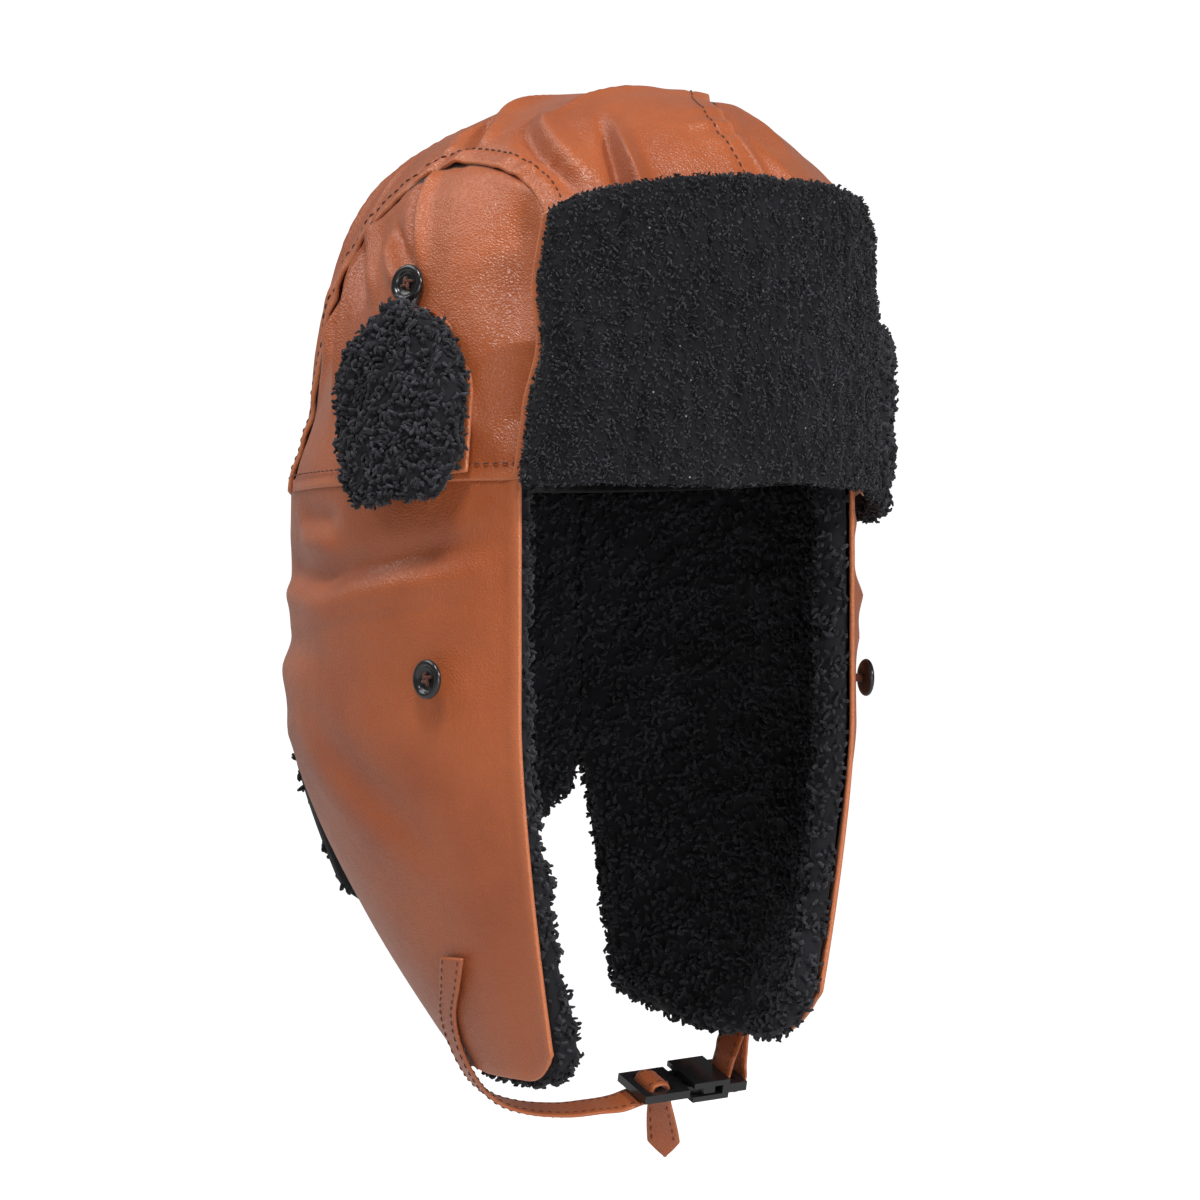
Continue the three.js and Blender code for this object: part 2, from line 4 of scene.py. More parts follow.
import bpy
import numpy as np
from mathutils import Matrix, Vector


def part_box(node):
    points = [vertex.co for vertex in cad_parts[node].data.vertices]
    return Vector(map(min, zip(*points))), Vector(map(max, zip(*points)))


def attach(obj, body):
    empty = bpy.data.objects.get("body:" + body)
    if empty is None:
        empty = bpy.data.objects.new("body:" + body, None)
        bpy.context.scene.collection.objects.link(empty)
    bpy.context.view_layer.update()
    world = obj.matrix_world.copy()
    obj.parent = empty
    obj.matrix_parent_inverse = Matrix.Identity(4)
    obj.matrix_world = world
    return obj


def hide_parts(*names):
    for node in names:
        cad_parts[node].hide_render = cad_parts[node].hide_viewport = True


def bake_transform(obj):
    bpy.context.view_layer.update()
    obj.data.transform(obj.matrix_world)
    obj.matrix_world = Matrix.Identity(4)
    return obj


bl_info = {
    "name": "Trapper hat",
    "version": (1, 0, 0),
    "blender": (4, 5, 0),
    "location": "View3D > Sidebar > Trapper hat",
    "description": "Builds a leather trapper hat with curly pile linings round its fixed frame",
    "category": "Add Mesh",
}

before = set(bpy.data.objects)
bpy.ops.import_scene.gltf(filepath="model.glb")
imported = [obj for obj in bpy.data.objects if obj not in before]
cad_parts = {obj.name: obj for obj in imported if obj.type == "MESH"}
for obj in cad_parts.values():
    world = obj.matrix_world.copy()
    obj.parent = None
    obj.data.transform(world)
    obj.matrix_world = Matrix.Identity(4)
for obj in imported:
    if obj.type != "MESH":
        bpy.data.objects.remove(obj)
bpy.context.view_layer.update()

MM = 0.001
RIGHT, LEFT = -1, 1
SIDE_NAME = {RIGHT: "right", LEFT: "left"}

# The crown: half axes of its dome at the band, its height, the lean of its top, and a point inside it. Then the
# length of a seam, a side panel's size, how far the seams overlap, and how far in they are stitched.
HALF_WIDTH, HALF_LENGTH, HEIGHT = 90.0, 110.0, 137.0
LEAN = (12.0, -4.0)
INSIDE = (0, 0, 20)
SEAM_LENGTH = 420
SIDE_RUN, SIDE_RISE = 130, 95
SEAM_OVERLAP, STITCH_INSET = 1.6, 3.4

# The ear flaps: degrees round from the front, lengths, and the rounding of each lower corner as its height and
# the share of the width that it takes.
EAR_ANGLES = (45.8, 143.1)
EAR_LENGTH = {RIGHT: 197.0, LEFT: 189.0}
EAR_FRONT = {RIGHT: (9.0, 0.14), LEFT: (17.0, 0.34)}
EAR_REAR = {RIGHT: (24.0, 0.65), LEFT: (12.0, 0.5)}
EAR_WIDTH = 165
NAPE_LENGTH, NAPE_ROUNDING = 134, 28

# Heights where the flaps' leather and pile begin, and how far in from the band the pile's back lies.
LEATHER_TOP, PILE_TOP, PILE_BACK = 1.2, -0.6, -2.6

# Pulled folds: both ends, half width and depth. On the crown an end is (degrees round from the front, height),
# on an ear flap (share of the width, height).
DEGREE_LENGTH = 1.66
CROWN_FOLDS = (
    ((-76, 106), (-69, 68), 3.4, 4.6), ((-81, 84), (-70, 67), -3.4, 3.6), ((-60, 38), (-53, 14), 3.2, 4.0),
    ((-102, 84), (-88, 58), 4.5, 3.6), ((-22, 115), (-20, 86), 3.2, 4.6), ((-45, 115), (-30, 92), 5.0, 4.2),
    ((-75, 124), (-60, 111), 4.5, 3.6), ((-64, 117), (-63, 104), 4.0, 2.2), ((-112, 78), (-104, 46), -5.0, 2.2),
    ((76, 104), (69, 66), -3.6, 3.2), ((60, 40), (54, 14), -3.2, 2.6), ((102, 82), (90, 56), 4.5, 2.6),
    ((12, 112), (14, 88), -4.5, 2.4), ((150, 104), (157, 58), 5.0, 3.0), ((-160, 100), (-149, 60), 5.0, 3.0),
    ((-135, 80), (-128, 40), -4.5, 2.4), ((128, 84), (133, 44), 4.5, 2.4))
EAR_FOLDS = (
    ((0.78, -27), (0.45, -33), 5.5, 3.6), ((0.5, -33), (0.1, -23), 5.5, 3.0),
    ((0.6, -11), (0.44, -14), 5.0, 2.4), ((0.9, -50), (0.5, -58), 7.0, 1.6),
    ((0.55, -78), (0.25, -120), 9.0, 1.6))

# The tabs: degrees round from the front, turn, height, half width, where the button sits up the tab, the loop's
# outline round that button, and a button's half section as (radius, height).
TAB_ANGLE, TAB_TURN = 67.8, 5.5
TAB_HEIGHT, TAB_HALF_WIDTH, BUTTON_REACH = 56.5, 26.0, 64.5
LOOP_OUTLINE = (
    (-2.6, -9), (-3.2, -4.5), (-3.9, -1), (-3, 2.6), (0, 4.2), (3, 2.6), (3.9, -1), (3.2, -4.5), (2.6, -9))
BUTTON_SECTION = (
    (0, -1.3), (3.5, -1.35), (5.2, -1.1), (6.2, -0.4), (6.5, 0.35), (6.25, 1.0), (5.6, 1.4), (4.9, 1.42),
    (4.3, 1.05), (3.7, 0.45), (2.6, 0.15), (1.4, 0.1), (0, 0.1))

# The straps and the buckle, which is rolled and tilted about its own origin. The run woven through the plug and
# the run round the socket's bar are (along, up) in the buckle's own axes.
STRAP_THICKNESS, POINT_LENGTH = 1.6, 6.0
BUCKLE_ORIGIN, BUCKLE_ROLL, BUCKLE_TILT = (14.5, -14.0, -208.5), 20.0, 4.0
FREE_RUN = ((-46.5, -17, -204), (-39, -16, -209), (-28, -15, -212.3), (-14, -14.5, -214), (-1, -14, -213.8))
WOVEN_RUN = (
    (-5, -4.8), (0, -3.6), (3.4, -2.6), (4.6, -0.9), (4.8, 0.9), (5.6, 2.5), (8.2, 3.2), (10.8, 2.5),
    (11.6, 0.9), (11.8, -1.2), (12.3, -5), (13.6, -12), (15.4, -20), (17.6, -28.5))
ROUND_BAR = ((42.4, 5), (43, 1.2), (42, -2.4), (39.4, -3.6), (37, -2.6), (36, 0), (36.2, 3.2), (36.8, 7))

# The stage, in metres and degrees: camera, lights as (name, place, size, power), and the floor's height in mm.
CAMERA_PLACE, CAMERA_YAW, CAMERA_PITCH, CAMERA_VIEW = (-0.6425, -1.1302, -0.057), 30, 0.764, 18.2
LIGHTS = (
    ("key", (-0.7, -0.9, 1.75), 0.5, 23), ("behind", (-1.1, 0.6, 1.45), 1.2, 15),
    ("front", (0.45, -1.6, 0.75), 0.25, 15), ("low", (-0.3, -1.6, -0.25), 0.9, 9))
FLOOR = -420


# ------------------------------------------------------------------ numbers
def lerp(a, b, t):
    """From a to b as t goes from 0 to 1."""
    return a + (b - a) * t


def smooth(x, a, b):
    """An eased step, 3 t^2 - 2 t^3, from 0 at a to 1 at b."""
    t = np.clip((x - a) / (b - a), 0, 1)
    return t * t * (3 - 2 * t)


def unit(v):
    return v / np.maximum(np.linalg.norm(v, axis=-1, keepdims=True), 1e-12)


def hashed(cells, seed):
    """One number from 0 to 1 for each whole-number cell: the fraction of a large sine of its coordinates."""
    mix = cells @ np.array([127.1, 311.7, 74.7]) + seed * 57.3
    return np.modf(np.abs(np.sin(mix) * 43758.5453))[0]


def noise(p, seed=0):
    """Smooth value noise from -1 to 1: the eight hashed corners of each unit cell, eased between."""
    base = np.floor(p)
    f = p - base
    f = f * f * (3 - 2 * f)
    total = np.zeros(p.shape[:-1])
    for corner in np.ndindex(2, 2, 2):
        c = np.array(corner)
        weight = np.prod(np.where(c == 1, f, 1 - f), axis=-1)
        total += weight * hashed(base + c, seed)
    return total * 2 - 1


def layered(p, seed=0, octaves=3):
    """Noise with finer noise on it, each layer half as high and about half as wide."""
    total, size = 0.0, 1.0
    for k in range(octaves):
        total = total + noise(p * 2.03 ** k, seed + k) * size
        size *= 0.5
    return total


def spline(points, t):
    """Centripetal Catmull-Rom curve through points, t from 0 to 1 shared evenly between the stretches."""
    p = np.asarray(points, float)
    p = np.vstack([2 * p[0] - p[1], p, 2 * p[-1] - p[-2]])
    stretch = np.clip(np.asarray(t, float), 0, 1) * (len(p) - 3)
    i = np.minimum(stretch.astype(int), len(p) - 4)
    w = (stretch - i)[:, None]
    a, b, c, d = p[i], p[i + 1], p[i + 2], p[i + 3]
    g0, g1, g2 = (
        np.maximum(np.linalg.norm(y - x, axis=1, keepdims=True), 1e-6) ** 0.5
        for x, y in ((a, b), (b, c), (c, d)))
    m1 = ((b - a) / g0 - (c - a) / (g0 + g1) + (c - b) / g1) * g1
    m2 = ((c - b) / g1 - (d - b) / (g1 + g2) + (d - c) / g2) * g1
    return b + m1 * w + (-3 * b + 3 * c - 2 * m1 - m2) * w ** 2 + (2 * b - 2 * c + m1 + m2) * w ** 3


def grid(columns, rows, u=(0, 1), v=(0, 1)):
    return np.meshgrid(np.linspace(*u, columns), np.linspace(*v, rows), indexing="ij")


def normals_of(p, centre):
    """Unit normals of a grid of points, turned away from centre."""
    n = unit(np.cross(np.gradient(p, axis=0), np.gradient(p, axis=1)))
    away = np.sum(n * (p - np.asarray(centre, float)), axis=-1)
    return n * (1 if away.sum() > 0 else -1)


# ------------------------------------------------------------------ meshes
def quads_of(columns, rows):
    """The quads of a grid, columns first."""
    i = np.arange(columns * rows).reshape(columns, rows)
    return np.stack([i[:-1, :-1], i[1:, :-1], i[1:, 1:], i[:-1, 1:]], -1).reshape(-1, 4)


def edge_loop(columns, rows):
    """Vertex numbers once round the edge of a grid."""
    i = np.arange(columns * rows).reshape(columns, rows)
    return np.concatenate([i[:-1, 0], i[-1, :-1], i[:0:-1, -1], i[0, :0:-1]])


def shell(outer, inner, rims=3, bulge=1.0):
    """Closed shell between two grids of points, joined by a rim that is half an ellipse between their edges."""
    columns, rows = outer.shape[:2]
    count = columns * rows
    loop = edge_loop(columns, rows)
    within = np.clip(loop // rows, 1, columns - 2) * rows + np.clip(loop % rows, 1, rows - 2)
    flat_outer, flat_inner = outer.reshape(-1, 3), inner.reshape(-1, 3)
    middle = (flat_outer[loop] + flat_inner[loop]) / 2
    half = (flat_outer[loop] - flat_inner[loop]) / 2
    depth = np.linalg.norm(half, axis=1, keepdims=True)
    outward = unit(flat_outer[loop] - flat_outer[within] + flat_inner[loop] - flat_inner[within])
    rings = [
        middle + half * math.cos(a) + outward * depth * (bulge * math.sin(a))
        for a in np.pi * np.arange(1, rims + 1) / (rims + 1)
    ]
    verts = np.vstack([flat_outer, flat_inner, *rings])
    chain = [loop] + [2 * count + k * len(loop) + np.arange(len(loop)) for k in range(rims)] + [count + loop]
    sides = [np.stack([a, np.roll(a, -1), np.roll(b, -1), b], 1) for a, b in zip(chain[:-1], chain[1:])]
    faces = np.vstack([quads_of(columns, rows)[:, ::-1], quads_of(columns, rows) + count, *sides])
    return verts, faces


def ring_walls(rings, sides):
    """Vertex numbers of rings of points, and the quads that join each ring to the next."""
    i = np.arange(rings * sides).reshape(rings, sides)
    return i, np.stack([i[:-1], np.roll(i[:-1], -1, 1), np.roll(i[1:], -1, 1), i[1:]], -1).reshape(-1, 4)


def tubes(paths, across, radii, sides):
    """Closed tubes along many short paths at once: rings of points turned about each path, and their two ends.
    paths is (tubes, steps, 3), across holds a direction for each point, and radii is (tubes, steps)."""
    n, steps = paths.shape[:2]
    along = unit(np.gradient(paths, axis=1))
    first = unit(np.cross(along, across))
    second = np.cross(along, first)
    turn = 2 * np.pi * np.arange(sides)[:, None] / sides
    ring = first[:, :, None] * np.cos(turn) + second[:, :, None] * np.sin(turn)
    verts = paths[:, :, None] + ring * radii[:, :, None, None]
    i = np.arange(n * steps * sides).reshape(n, steps, sides)
    a, b = i[:, :-1], i[:, 1:]
    walls = np.stack([a, np.roll(a, -1, 2), np.roll(b, -1, 2), b], -1).reshape(-1, 4)
    return verts.reshape(-1, 3), (walls, np.vstack([i[:, 0, ::-1], i[:, -1]]))


def outward(verts, face_sets):
    """Face sets turned round together when the volume that they enclose comes out negative."""
    volume = sum(
        np.sum(verts[f[:, 0]] * np.cross(verts[f[:, k]], verts[f[:, k + 1]]))
        for f in face_sets for k in range(1, f.shape[1] - 1))
    return [f if volume > 0 else f[:, ::-1] for f in face_sets]


def build(name, verts, face_sets, material_name, attributes=None):
    """A smooth mesh object at the origin from points in millimetres, its faces turned outwards."""
    face_sets = outward(verts, face_sets)
    corners = np.concatenate([f.ravel() for f in face_sets])
    counts = np.concatenate([np.full(len(f), f.shape[1]) for f in face_sets])
    mesh = bpy.data.meshes.new(name)
    mesh.vertices.add(len(verts))
    mesh.vertices.foreach_set("co", (np.asarray(verts) * MM).astype(np.float32).ravel())
    mesh.loops.add(len(corners))
    mesh.loops.foreach_set("vertex_index", corners.astype(np.int32))
    mesh.polygons.add(len(counts))
    mesh.polygons.foreach_set("loop_start", np.concatenate([[0], np.cumsum(counts)[:-1]]).astype(np.int32))
    mesh.polygons.foreach_set("use_smooth", np.full(len(counts), True))
    for key, values in (attributes or {}).items():
        layer = mesh.attributes.new(key, "FLOAT", "POINT")
        layer.data.foreach_set("value", np.asarray(values, np.float32))
    mesh.update(calc_edges=True)
    mesh.validate()
    mesh.materials.append(bpy.data.materials[material_name])
    obj = bpy.data.objects.new(name, mesh)
    bpy.context.scene.collection.objects.link(obj)
    return obj


def dress(obj, nodes, body=None, blend=None):
    """Names the finish of a piece, the fixed nodes that it stands for, and the body or blend that moves it."""
    if nodes:
        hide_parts(*nodes)
    if blend:
        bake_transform(obj)
    else:
        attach(obj, body)


# ------------------------------------------------------------------ the hat's surfaces
def flare(t):
    """How far the band stands out of its ellipse, t degrees round from the front: full from the ears back."""
    return 5.0 * smooth(t, 48, 82)


def leaned(x, y, z):
    """Points moved sideways in proportion to their height."""
    return np.stack([x + LEAN[0] * z / HEIGHT, y + LEAN[1] * z / HEIGHT, z], -1)


def dome(direction):
    """Crown: where a direction meets x^2/a^2 + y^2/b^2 + z^4/c^4 = 1, then leaned, and swollen at the band."""
    a, b, c = HALF_WIDTH, HALF_LENGTH, HEIGHT
    flat = (direction[..., 0] / a) ** 2 + (direction[..., 1] / b) ** 2
    tall = (direction[..., 2] / c) ** 2
    reach = np.sqrt(2 / (flat + np.sqrt(flat ** 2 + 4 * tall ** 2)))
    p = direction * reach[..., None]
    t = np.degrees(np.arctan2(np.abs(p[..., 0]) / a, -p[..., 1] / b))
    z = p[..., 2]
    swell = 1 + flare(t) * (1 - smooth(z, 0, 28)) / HALF_LENGTH
    return leaned(p[..., 0] * swell, p[..., 1] * swell, z)


def direction_of(points):
    """Directions that lead the dome to given points, with its lean taken off."""
    p = np.asarray(points, float)
    lean = np.stack([LEAN[0] * p[..., 2], LEAN[1] * p[..., 2], 0 * p[..., 2]], -1) / HEIGHT
    return unit(p - lean)


SEAMS = {
    RIGHT: direction_of([
        (-46, -94, 0), (-49, -88, 50), (-51, -68, 92), (-55, -50, 103), (-62, -24, 110), (-70, -8, 104),
        (-76, 8, 96), (-79, 21, 82), (-81, 32, 60), (-84, 41, 32), (-81.5, 47, 0)]),
    LEFT: direction_of([
        (24, -106, 0), (16, -102, 50), (11, -89, 98), (11, -76, 116), (19, -54, 128), (38, -20, 132),
        (55, 4, 121), (68, 18, 105), (79, 29, 82), (84, 37, 60), (86, 43, 32), (82, 47, 0)]),
}
SEAM_CORNERS = {RIGHT: (0.2, 0.7), LEFT: (0.19, 0.72)}


def seam(side, s):
    """Directions along a seam, from its front foot at 0 to its rear foot at 1."""
    s = np.asarray(s, float)
    return unit(spline(SEAMS[side], s.ravel())).reshape(*s.shape, 3)


def top_direction(u, share):
    """Directions on the great circle between the two seams, at a share of the angle between them."""
    a, b = seam(RIGHT, u), seam(LEFT, u)
    angle = np.arccos(np.clip(np.sum(a * b, -1), -1, 1))[..., None]
    share = np.asarray(share, float)[..., None]
    return unit(a * np.sin((1 - share) * angle) / np.sin(angle) + b * np.sin(share * angle) / np.sin(angle))


def band_direction(side, u):
    """Directions along the band's ellipse between the two ends of a seam."""
    ends = seam(side, np.array([0.0, 1.0]))
    t0, t1 = np.arctan2(np.abs(ends[:, 0]) / HALF_WIDTH, -ends[:, 1] / HALF_LENGTH)
    t = lerp(t0, t1, u)
    return unit(np.stack([side * HALF_WIDTH * np.sin(t), -HALF_LENGTH * np.cos(t), 0 * t], -1))


def side_direction(side, u, v):
    """Blends the band edge and the three stretches of seam round the panel, less its corners, counted twice."""
    c0, c1 = SEAM_CORNERS[side]
    corner = {k: seam(side, np.array([k]))[0] for k in (0.0, c0, c1, 1.0)}
    uu, vv = u[..., None], v[..., None]
    d = band_direction(side, u) * (1 - vv) + seam(side, lerp(c0, c1, u)) * vv
    d = d + seam(side, c0 * v) * (1 - uu) + seam(side, 1 - (1 - c1) * v) * uu
    d = d - corner[0.0] * (1 - uu) * (1 - vv) - corner[1.0] * uu * (1 - vv)
    return unit(d - corner[c0] * (1 - uu) * vv - corner[c1] * uu * vv)


def skirt_arc(side, t, z, offset):
    """The band's flared ellipse at t degrees round from the front, at any height, moved out by an offset."""
    a = np.radians(t)
    swell = 1 + flare(np.where(t < 180, t, 360 - t)) / HALF_LENGTH
    x, y = side * (HALF_WIDTH + offset) * swell * np.sin(a), -(HALF_LENGTH + offset) * swell * np.cos(a)
    return np.stack([x, y, z + 0 * a], -1)


def ear_foot(side, u, z, offset):
    """The line from the front to the rear lower corner of an ear flap, bowed out by 10 mm at its middle."""
    (fx, fy), (rx, ry) = (49, -73), (35, 22)
    length = math.hypot(rx - fx, ry - fy)
    out = offset + 40 * u * (1 - u)
    x, y = lerp(fx, rx, u) + out * (ry - fy) / length, lerp(fy, ry, u) - out * (rx - fx) / length
    return np.stack([side * x, y, z + 0 * u], -1)


def ear_surface(side, u, z, offset):
    """Follows the band's ellipse at the top and leans in to a bowed straight line at the foot."""
    bend = (np.maximum(0, -z - 82) / 115) ** 1.4
    arc = skirt_arc(side, lerp(*EAR_ANGLES, u), z, offset)
    return lerp(arc, ear_foot(side, u, z, offset), bend[..., None])


def ear_bottom(side, u):
    """Height of an ear flap's lower edge: straight, with each corner raised by a power of how near it is."""
    (fr, fs), (rr, rs) = EAR_FRONT[side], EAR_REAR[side]
    front = fr * np.maximum(0, 1 - u / fs) ** 2
    return -EAR_LENGTH[side] + front + rr * np.maximum(0, 1 - (1 - u) / rs) ** 2.2


def nape_surface(u, z, offset):
    """The band's ellipse behind the head, carried down and narrowed towards the foot."""
    narrowing = 1 - 0.2 * (np.maximum(0, -z - 92) / 36) ** 1.3
    return skirt_arc(LEFT, 180 + 36.1 * narrowing * (2 * u - 1), z, offset)


def brow_surface(u, v, z, offset):
    """Front flap: near the band's ellipse below, a bowed line between two corners above."""
    t = np.radians(lerp(-44.5, 44.5, u))
    k = 2 * u - 1
    low = np.stack([93 * np.sin(t), -113 * np.cos(t)], -1)
    high = np.stack([57 * k, -91 - 30 * (1 - k * k)], -1)
    p = lerp(low, high, v[..., None])
    out = unit(np.stack([0.25 * k, -np.ones_like(k)], -1))
    p = p + out * np.asarray(offset)[..., None]
    return np.concatenate([p, z[..., None]], -1)


def tab_frame(side):
    """Origin, along, up and out of a tab: along the band's chord, up the dome, then turned about out."""
    before, origin, after = (skirt_arc(side, np.array(TAB_ANGLE + k), 0, 0) for k in (-10, 0, 10))
    along = unit(after - before)
    head = dome(direction_of((origin[0], origin[1], TAB_HEIGHT)))
    up = unit(head - origin)
    out = unit(side * np.cross(along, up))
    a = math.radians(-side * TAB_TURN)
    along, up = (v * math.cos(a) + np.cross(out, v) * math.sin(a) + out * (out @ v) * (1 - math.cos(a))
                 for v in (along, up))
    return origin, along, up, out


def in_tab(side, along, up, out):
    """Points given in a tab's own axes."""
    o, a, u, n = tab_frame(side)
    return o + np.asarray(along)[..., None] * a + np.asarray(up)[..., None] * u + np.asarray(out)[..., None] * n


def tab_surface(side, u, v, grow, low, out):
    """Tab: straight below, its half width falling as the root of 1 - 0.86 k^2.4 above the shoulder."""
    k = 2 * u - 1
    h = lerp(low, TAB_HEIGHT, v)
    shoulder = TAB_HEIGHT * 0.42
    rise = np.clip((h - shoulder) / (TAB_HEIGHT - shoulder), 0, 1)
    half = (TAB_HALF_WIDTH + grow) * lerp(0.94, 1, np.minimum(1, np.maximum(h, 0) / shoulder))
    x = k * half * np.sqrt(1 - 0.86 * rise ** 2.4)
    lifted = lerp(low, TAB_HEIGHT + grow, v) - 3 * k * k * v * v
    return in_tab(side, x, lifted, out - x * x / 246)


def in_buckle(x, y, z):
    """A point given in the buckle's own axes: rolled about x, tilted about y, then moved to its place."""
    r, t = math.radians(BUCKLE_ROLL), math.radians(-BUCKLE_TILT)
    x, y, z = (np.asarray(c, float) for c in (x, y, z))
    y, z = y * math.cos(r) - z * math.sin(r), y * math.sin(r) + z * math.cos(r)
    x, z = x * math.cos(t) + z * math.sin(t), -x * math.sin(t) + z * math.cos(t)
    return np.stack(np.broadcast_arrays(x, y, z), -1) + np.array(BUCKLE_ORIGIN)


# ------------------------------------------------------------------ materials
def group_of(name, inputs, outputs):
    """A shader group with its input values and the names of its outputs, all of them plain numbers."""
    tree = bpy.data.node_groups.new(name, "ShaderNodeTree")
    for key, value in inputs.items():
        tree.interface.new_socket(key, in_out="INPUT", socket_type="NodeSocketFloat").default_value = value
    for key in outputs:
        tree.interface.new_socket(key, in_out="OUTPUT", socket_type="NodeSocketFloat")
    return tree, tree.nodes.new("NodeGroupInput"), tree.nodes.new("NodeGroupOutput")


def node(tree, kind, links=(), **settings):
    """Adds a node: in_N sets input N, other names set its own properties, links join sockets to inputs."""
    n = tree.nodes.new(kind)
    for key, value in settings.items():
        if key.startswith("in_"):
            n.inputs[int(key[3:])].default_value = value
        else:
            setattr(n, key, value)
    for source, target in links:
        tree.links.new(source, n.inputs[target])
    return n


def maths(tree, operation, a, b):
    """One operation on two sockets or numbers."""
    n = tree.nodes.new("ShaderNodeMath")
    n.operation = operation
    for k, value in enumerate((a, b)):
        if isinstance(value, (int, float)):
            n.inputs[k].default_value = value
        else:
            tree.links.new(value, n.inputs[k])
    return n.outputs[0]


def scaled(tree, value, gain, base):
    """A socket times a gain, plus a base."""
    return maths(tree, "ADD", maths(tree, "MULTIPLY", value, gain), base)


def ramp(tree, factor, stops):
    n = tree.nodes.new("ShaderNodeValToRGB")
    while len(n.color_ramp.elements) < len(stops):
        n.color_ramp.elements.new(0.5)
    for element, (place, colour) in zip(n.color_ramp.elements, stops):
        element.position = place
        element.color = (*colour, 1)
    tree.links.new(factor, n.inputs[0])
    return n.outputs[0]


def mixed(tree, factor, colour, other):
    """A colour socket mixed towards a plain colour."""
    n = node(tree, "ShaderNodeMix", [(factor, 0), (colour, 6)], data_type="RGBA")
    n.inputs[7].default_value = (*other, 1)
    return n.outputs[2]


def grain_group():
    """Leather grain: pebbles, fine pores and larger creases added up as one height, and a broad soft shade."""
    tree, given, result = group_of("leather_grain", {"Scale": 900.0}, ("Grain", "Soft"))
    at = tree.nodes.new("ShaderNodeTexCoord").outputs["Object"]
    cells = node(tree, "ShaderNodeTexVoronoi", [(at, 0), (given.outputs[0], 2)], feature="DISTANCE_TO_EDGE")
    pores = node(tree, "ShaderNodeTexNoise", [(at, 0)], in_2=1400.0, in_3=3.0)
    creased = node(tree, "ShaderNodeTexNoise", [(at, 0)], in_2=210.0, in_3=4.0)
    broad = node(tree, "ShaderNodeTexNoise", [(at, 0)], in_2=26.0, in_3=3.0)
    pebble = maths(tree, "MINIMUM", maths(tree, "MULTIPLY", cells.outputs[0], 3.0), 1.0)
    height = scaled(tree, creased.outputs[0], 3.0, scaled(tree, pores.outputs[0], 0.5, pebble))
    tree.links.new(height, result.inputs[0])
    tree.links.new(broad.outputs[0], result.inputs[1])


def fibre_group():
    """Pile or cloth: a fine noise for its fibres, a broad noise for its patches, and small sparse flecks."""
    tree, given, result = group_of("fibres", {"Scale": 700.0, "Fleck": 0.06}, ("Fibre", "Patch", "Flecks"))
    at = tree.nodes.new("ShaderNodeTexCoord").outputs["Object"]
    fine = node(tree, "ShaderNodeTexNoise", [(at, 0), (given.outputs[0], 2)], in_3=4.0)
    patch = node(tree, "ShaderNodeTexNoise", [(at, 0)], in_2=45.0, in_3=2.0)
    spots = node(tree, "ShaderNodeTexVoronoi", [(at, 0)], in_2=170.0)
    flecks = maths(tree, "LESS_THAN", spots.outputs[0], given.outputs[1])
    for k, source in enumerate((fine.outputs[0], patch.outputs[0], flecks)):
        tree.links.new(source, result.inputs[k])


def surface(name, roughness, specular=0.5, sheen=0.0, coat=0.0):
    """A new material with its finish set on the shader's own sockets."""
    material = bpy.data.materials.new(name)
    material.use_nodes = True
    tree = material.node_tree
    shader = tree.nodes["Principled BSDF"]
    finish = {
        "Roughness": roughness, "Specular IOR Level": specular, "Sheen Weight": sheen, "Sheen Roughness": 0.45,
        "Coat Weight": coat, "Coat Roughness": 0.25}
    for key, value in finish.items():
        shader.inputs[key].default_value = value
    return tree, shader


def use(tree, group, **values):
    n = tree.nodes.new("ShaderNodeGroup")
    n.node_tree = bpy.data.node_groups[group]
    for key, value in values.items():
        n.inputs[key].default_value = value
    return n


def bump(tree, shader, height, distance, strength):
    n = tree.nodes.new("ShaderNodeBump")
    n.inputs["Strength"].default_value = strength
    n.inputs["Distance"].default_value = distance
    tree.links.new(height, n.inputs["Height"])
    tree.links.new(n.outputs[0], shader.inputs["Normal"])


def attribute(tree, name):
    n = tree.nodes.new("ShaderNodeAttribute")
    n.attribute_name = name
    return n.outputs["Fac"]


def leather_material(colour):
    """Tanned leather: three close tones, paler where its edges are worn and nearly black inside the seams."""
    tree, shader = surface("tan_leather", 0.4, 0.55, 0.1)
    grain = use(tree, "leather_grain")
    base = np.array(colour)
    tone = ramp(tree, grain.outputs["Soft"], [
        (0.3, base * (0.84, 0.78, 0.74)), (0.52, base), (0.72, base * (1.08, 1.12, 1.16))])
    # Paler along the edges and rim: wear, with a painted highlight on the rolled edges.
    wear_and_highlight_tone = mixed(tree, attribute(tree, "wear_and_highlight"), tone, base * (1.5, 1.9, 2.6))
    # Painted shadow along the seams: the leather is mixed nearly to black there.
    tree.links.new(mixed(tree, attribute(tree, "painted_seam_shadow"), wear_and_highlight_tone, base * 0.05), shader.inputs["Base Color"])
    tree.links.new(scaled(tree, grain.outputs["Grain"], 0.045, 0.27), shader.inputs["Roughness"])
    bump(tree, shader, grain.outputs["Grain"], 0.00016, 0.7)


def pile_material(name, colour, fleck):
    """Pile: dark at its roots and paler at its tips and in patches, with a few grey flecks."""
    tree, shader = surface(name, 0.95, 0.12, 0.12)
    fibre = use(tree, "fibres", Fleck=fleck)
    base = np.array(colour)
    patchy = maths(tree, "MULTIPLY", fibre.outputs["Patch"], 0.35)
    shade = ramp(tree, scaled(tree, attribute(tree, "tip"), 0.65, patchy), [
        (0.05, base * 0.3), (0.5, base), (0.9, base * 2.6)])
    tree.links.new(mixed(tree, fibre.outputs["Flecks"], shade, (0.3, 0.29, 0.28)), shader.inputs["Base Color"])
    bump(tree, shader, fibre.outputs["Fibre"], 0.0004, 0.8)


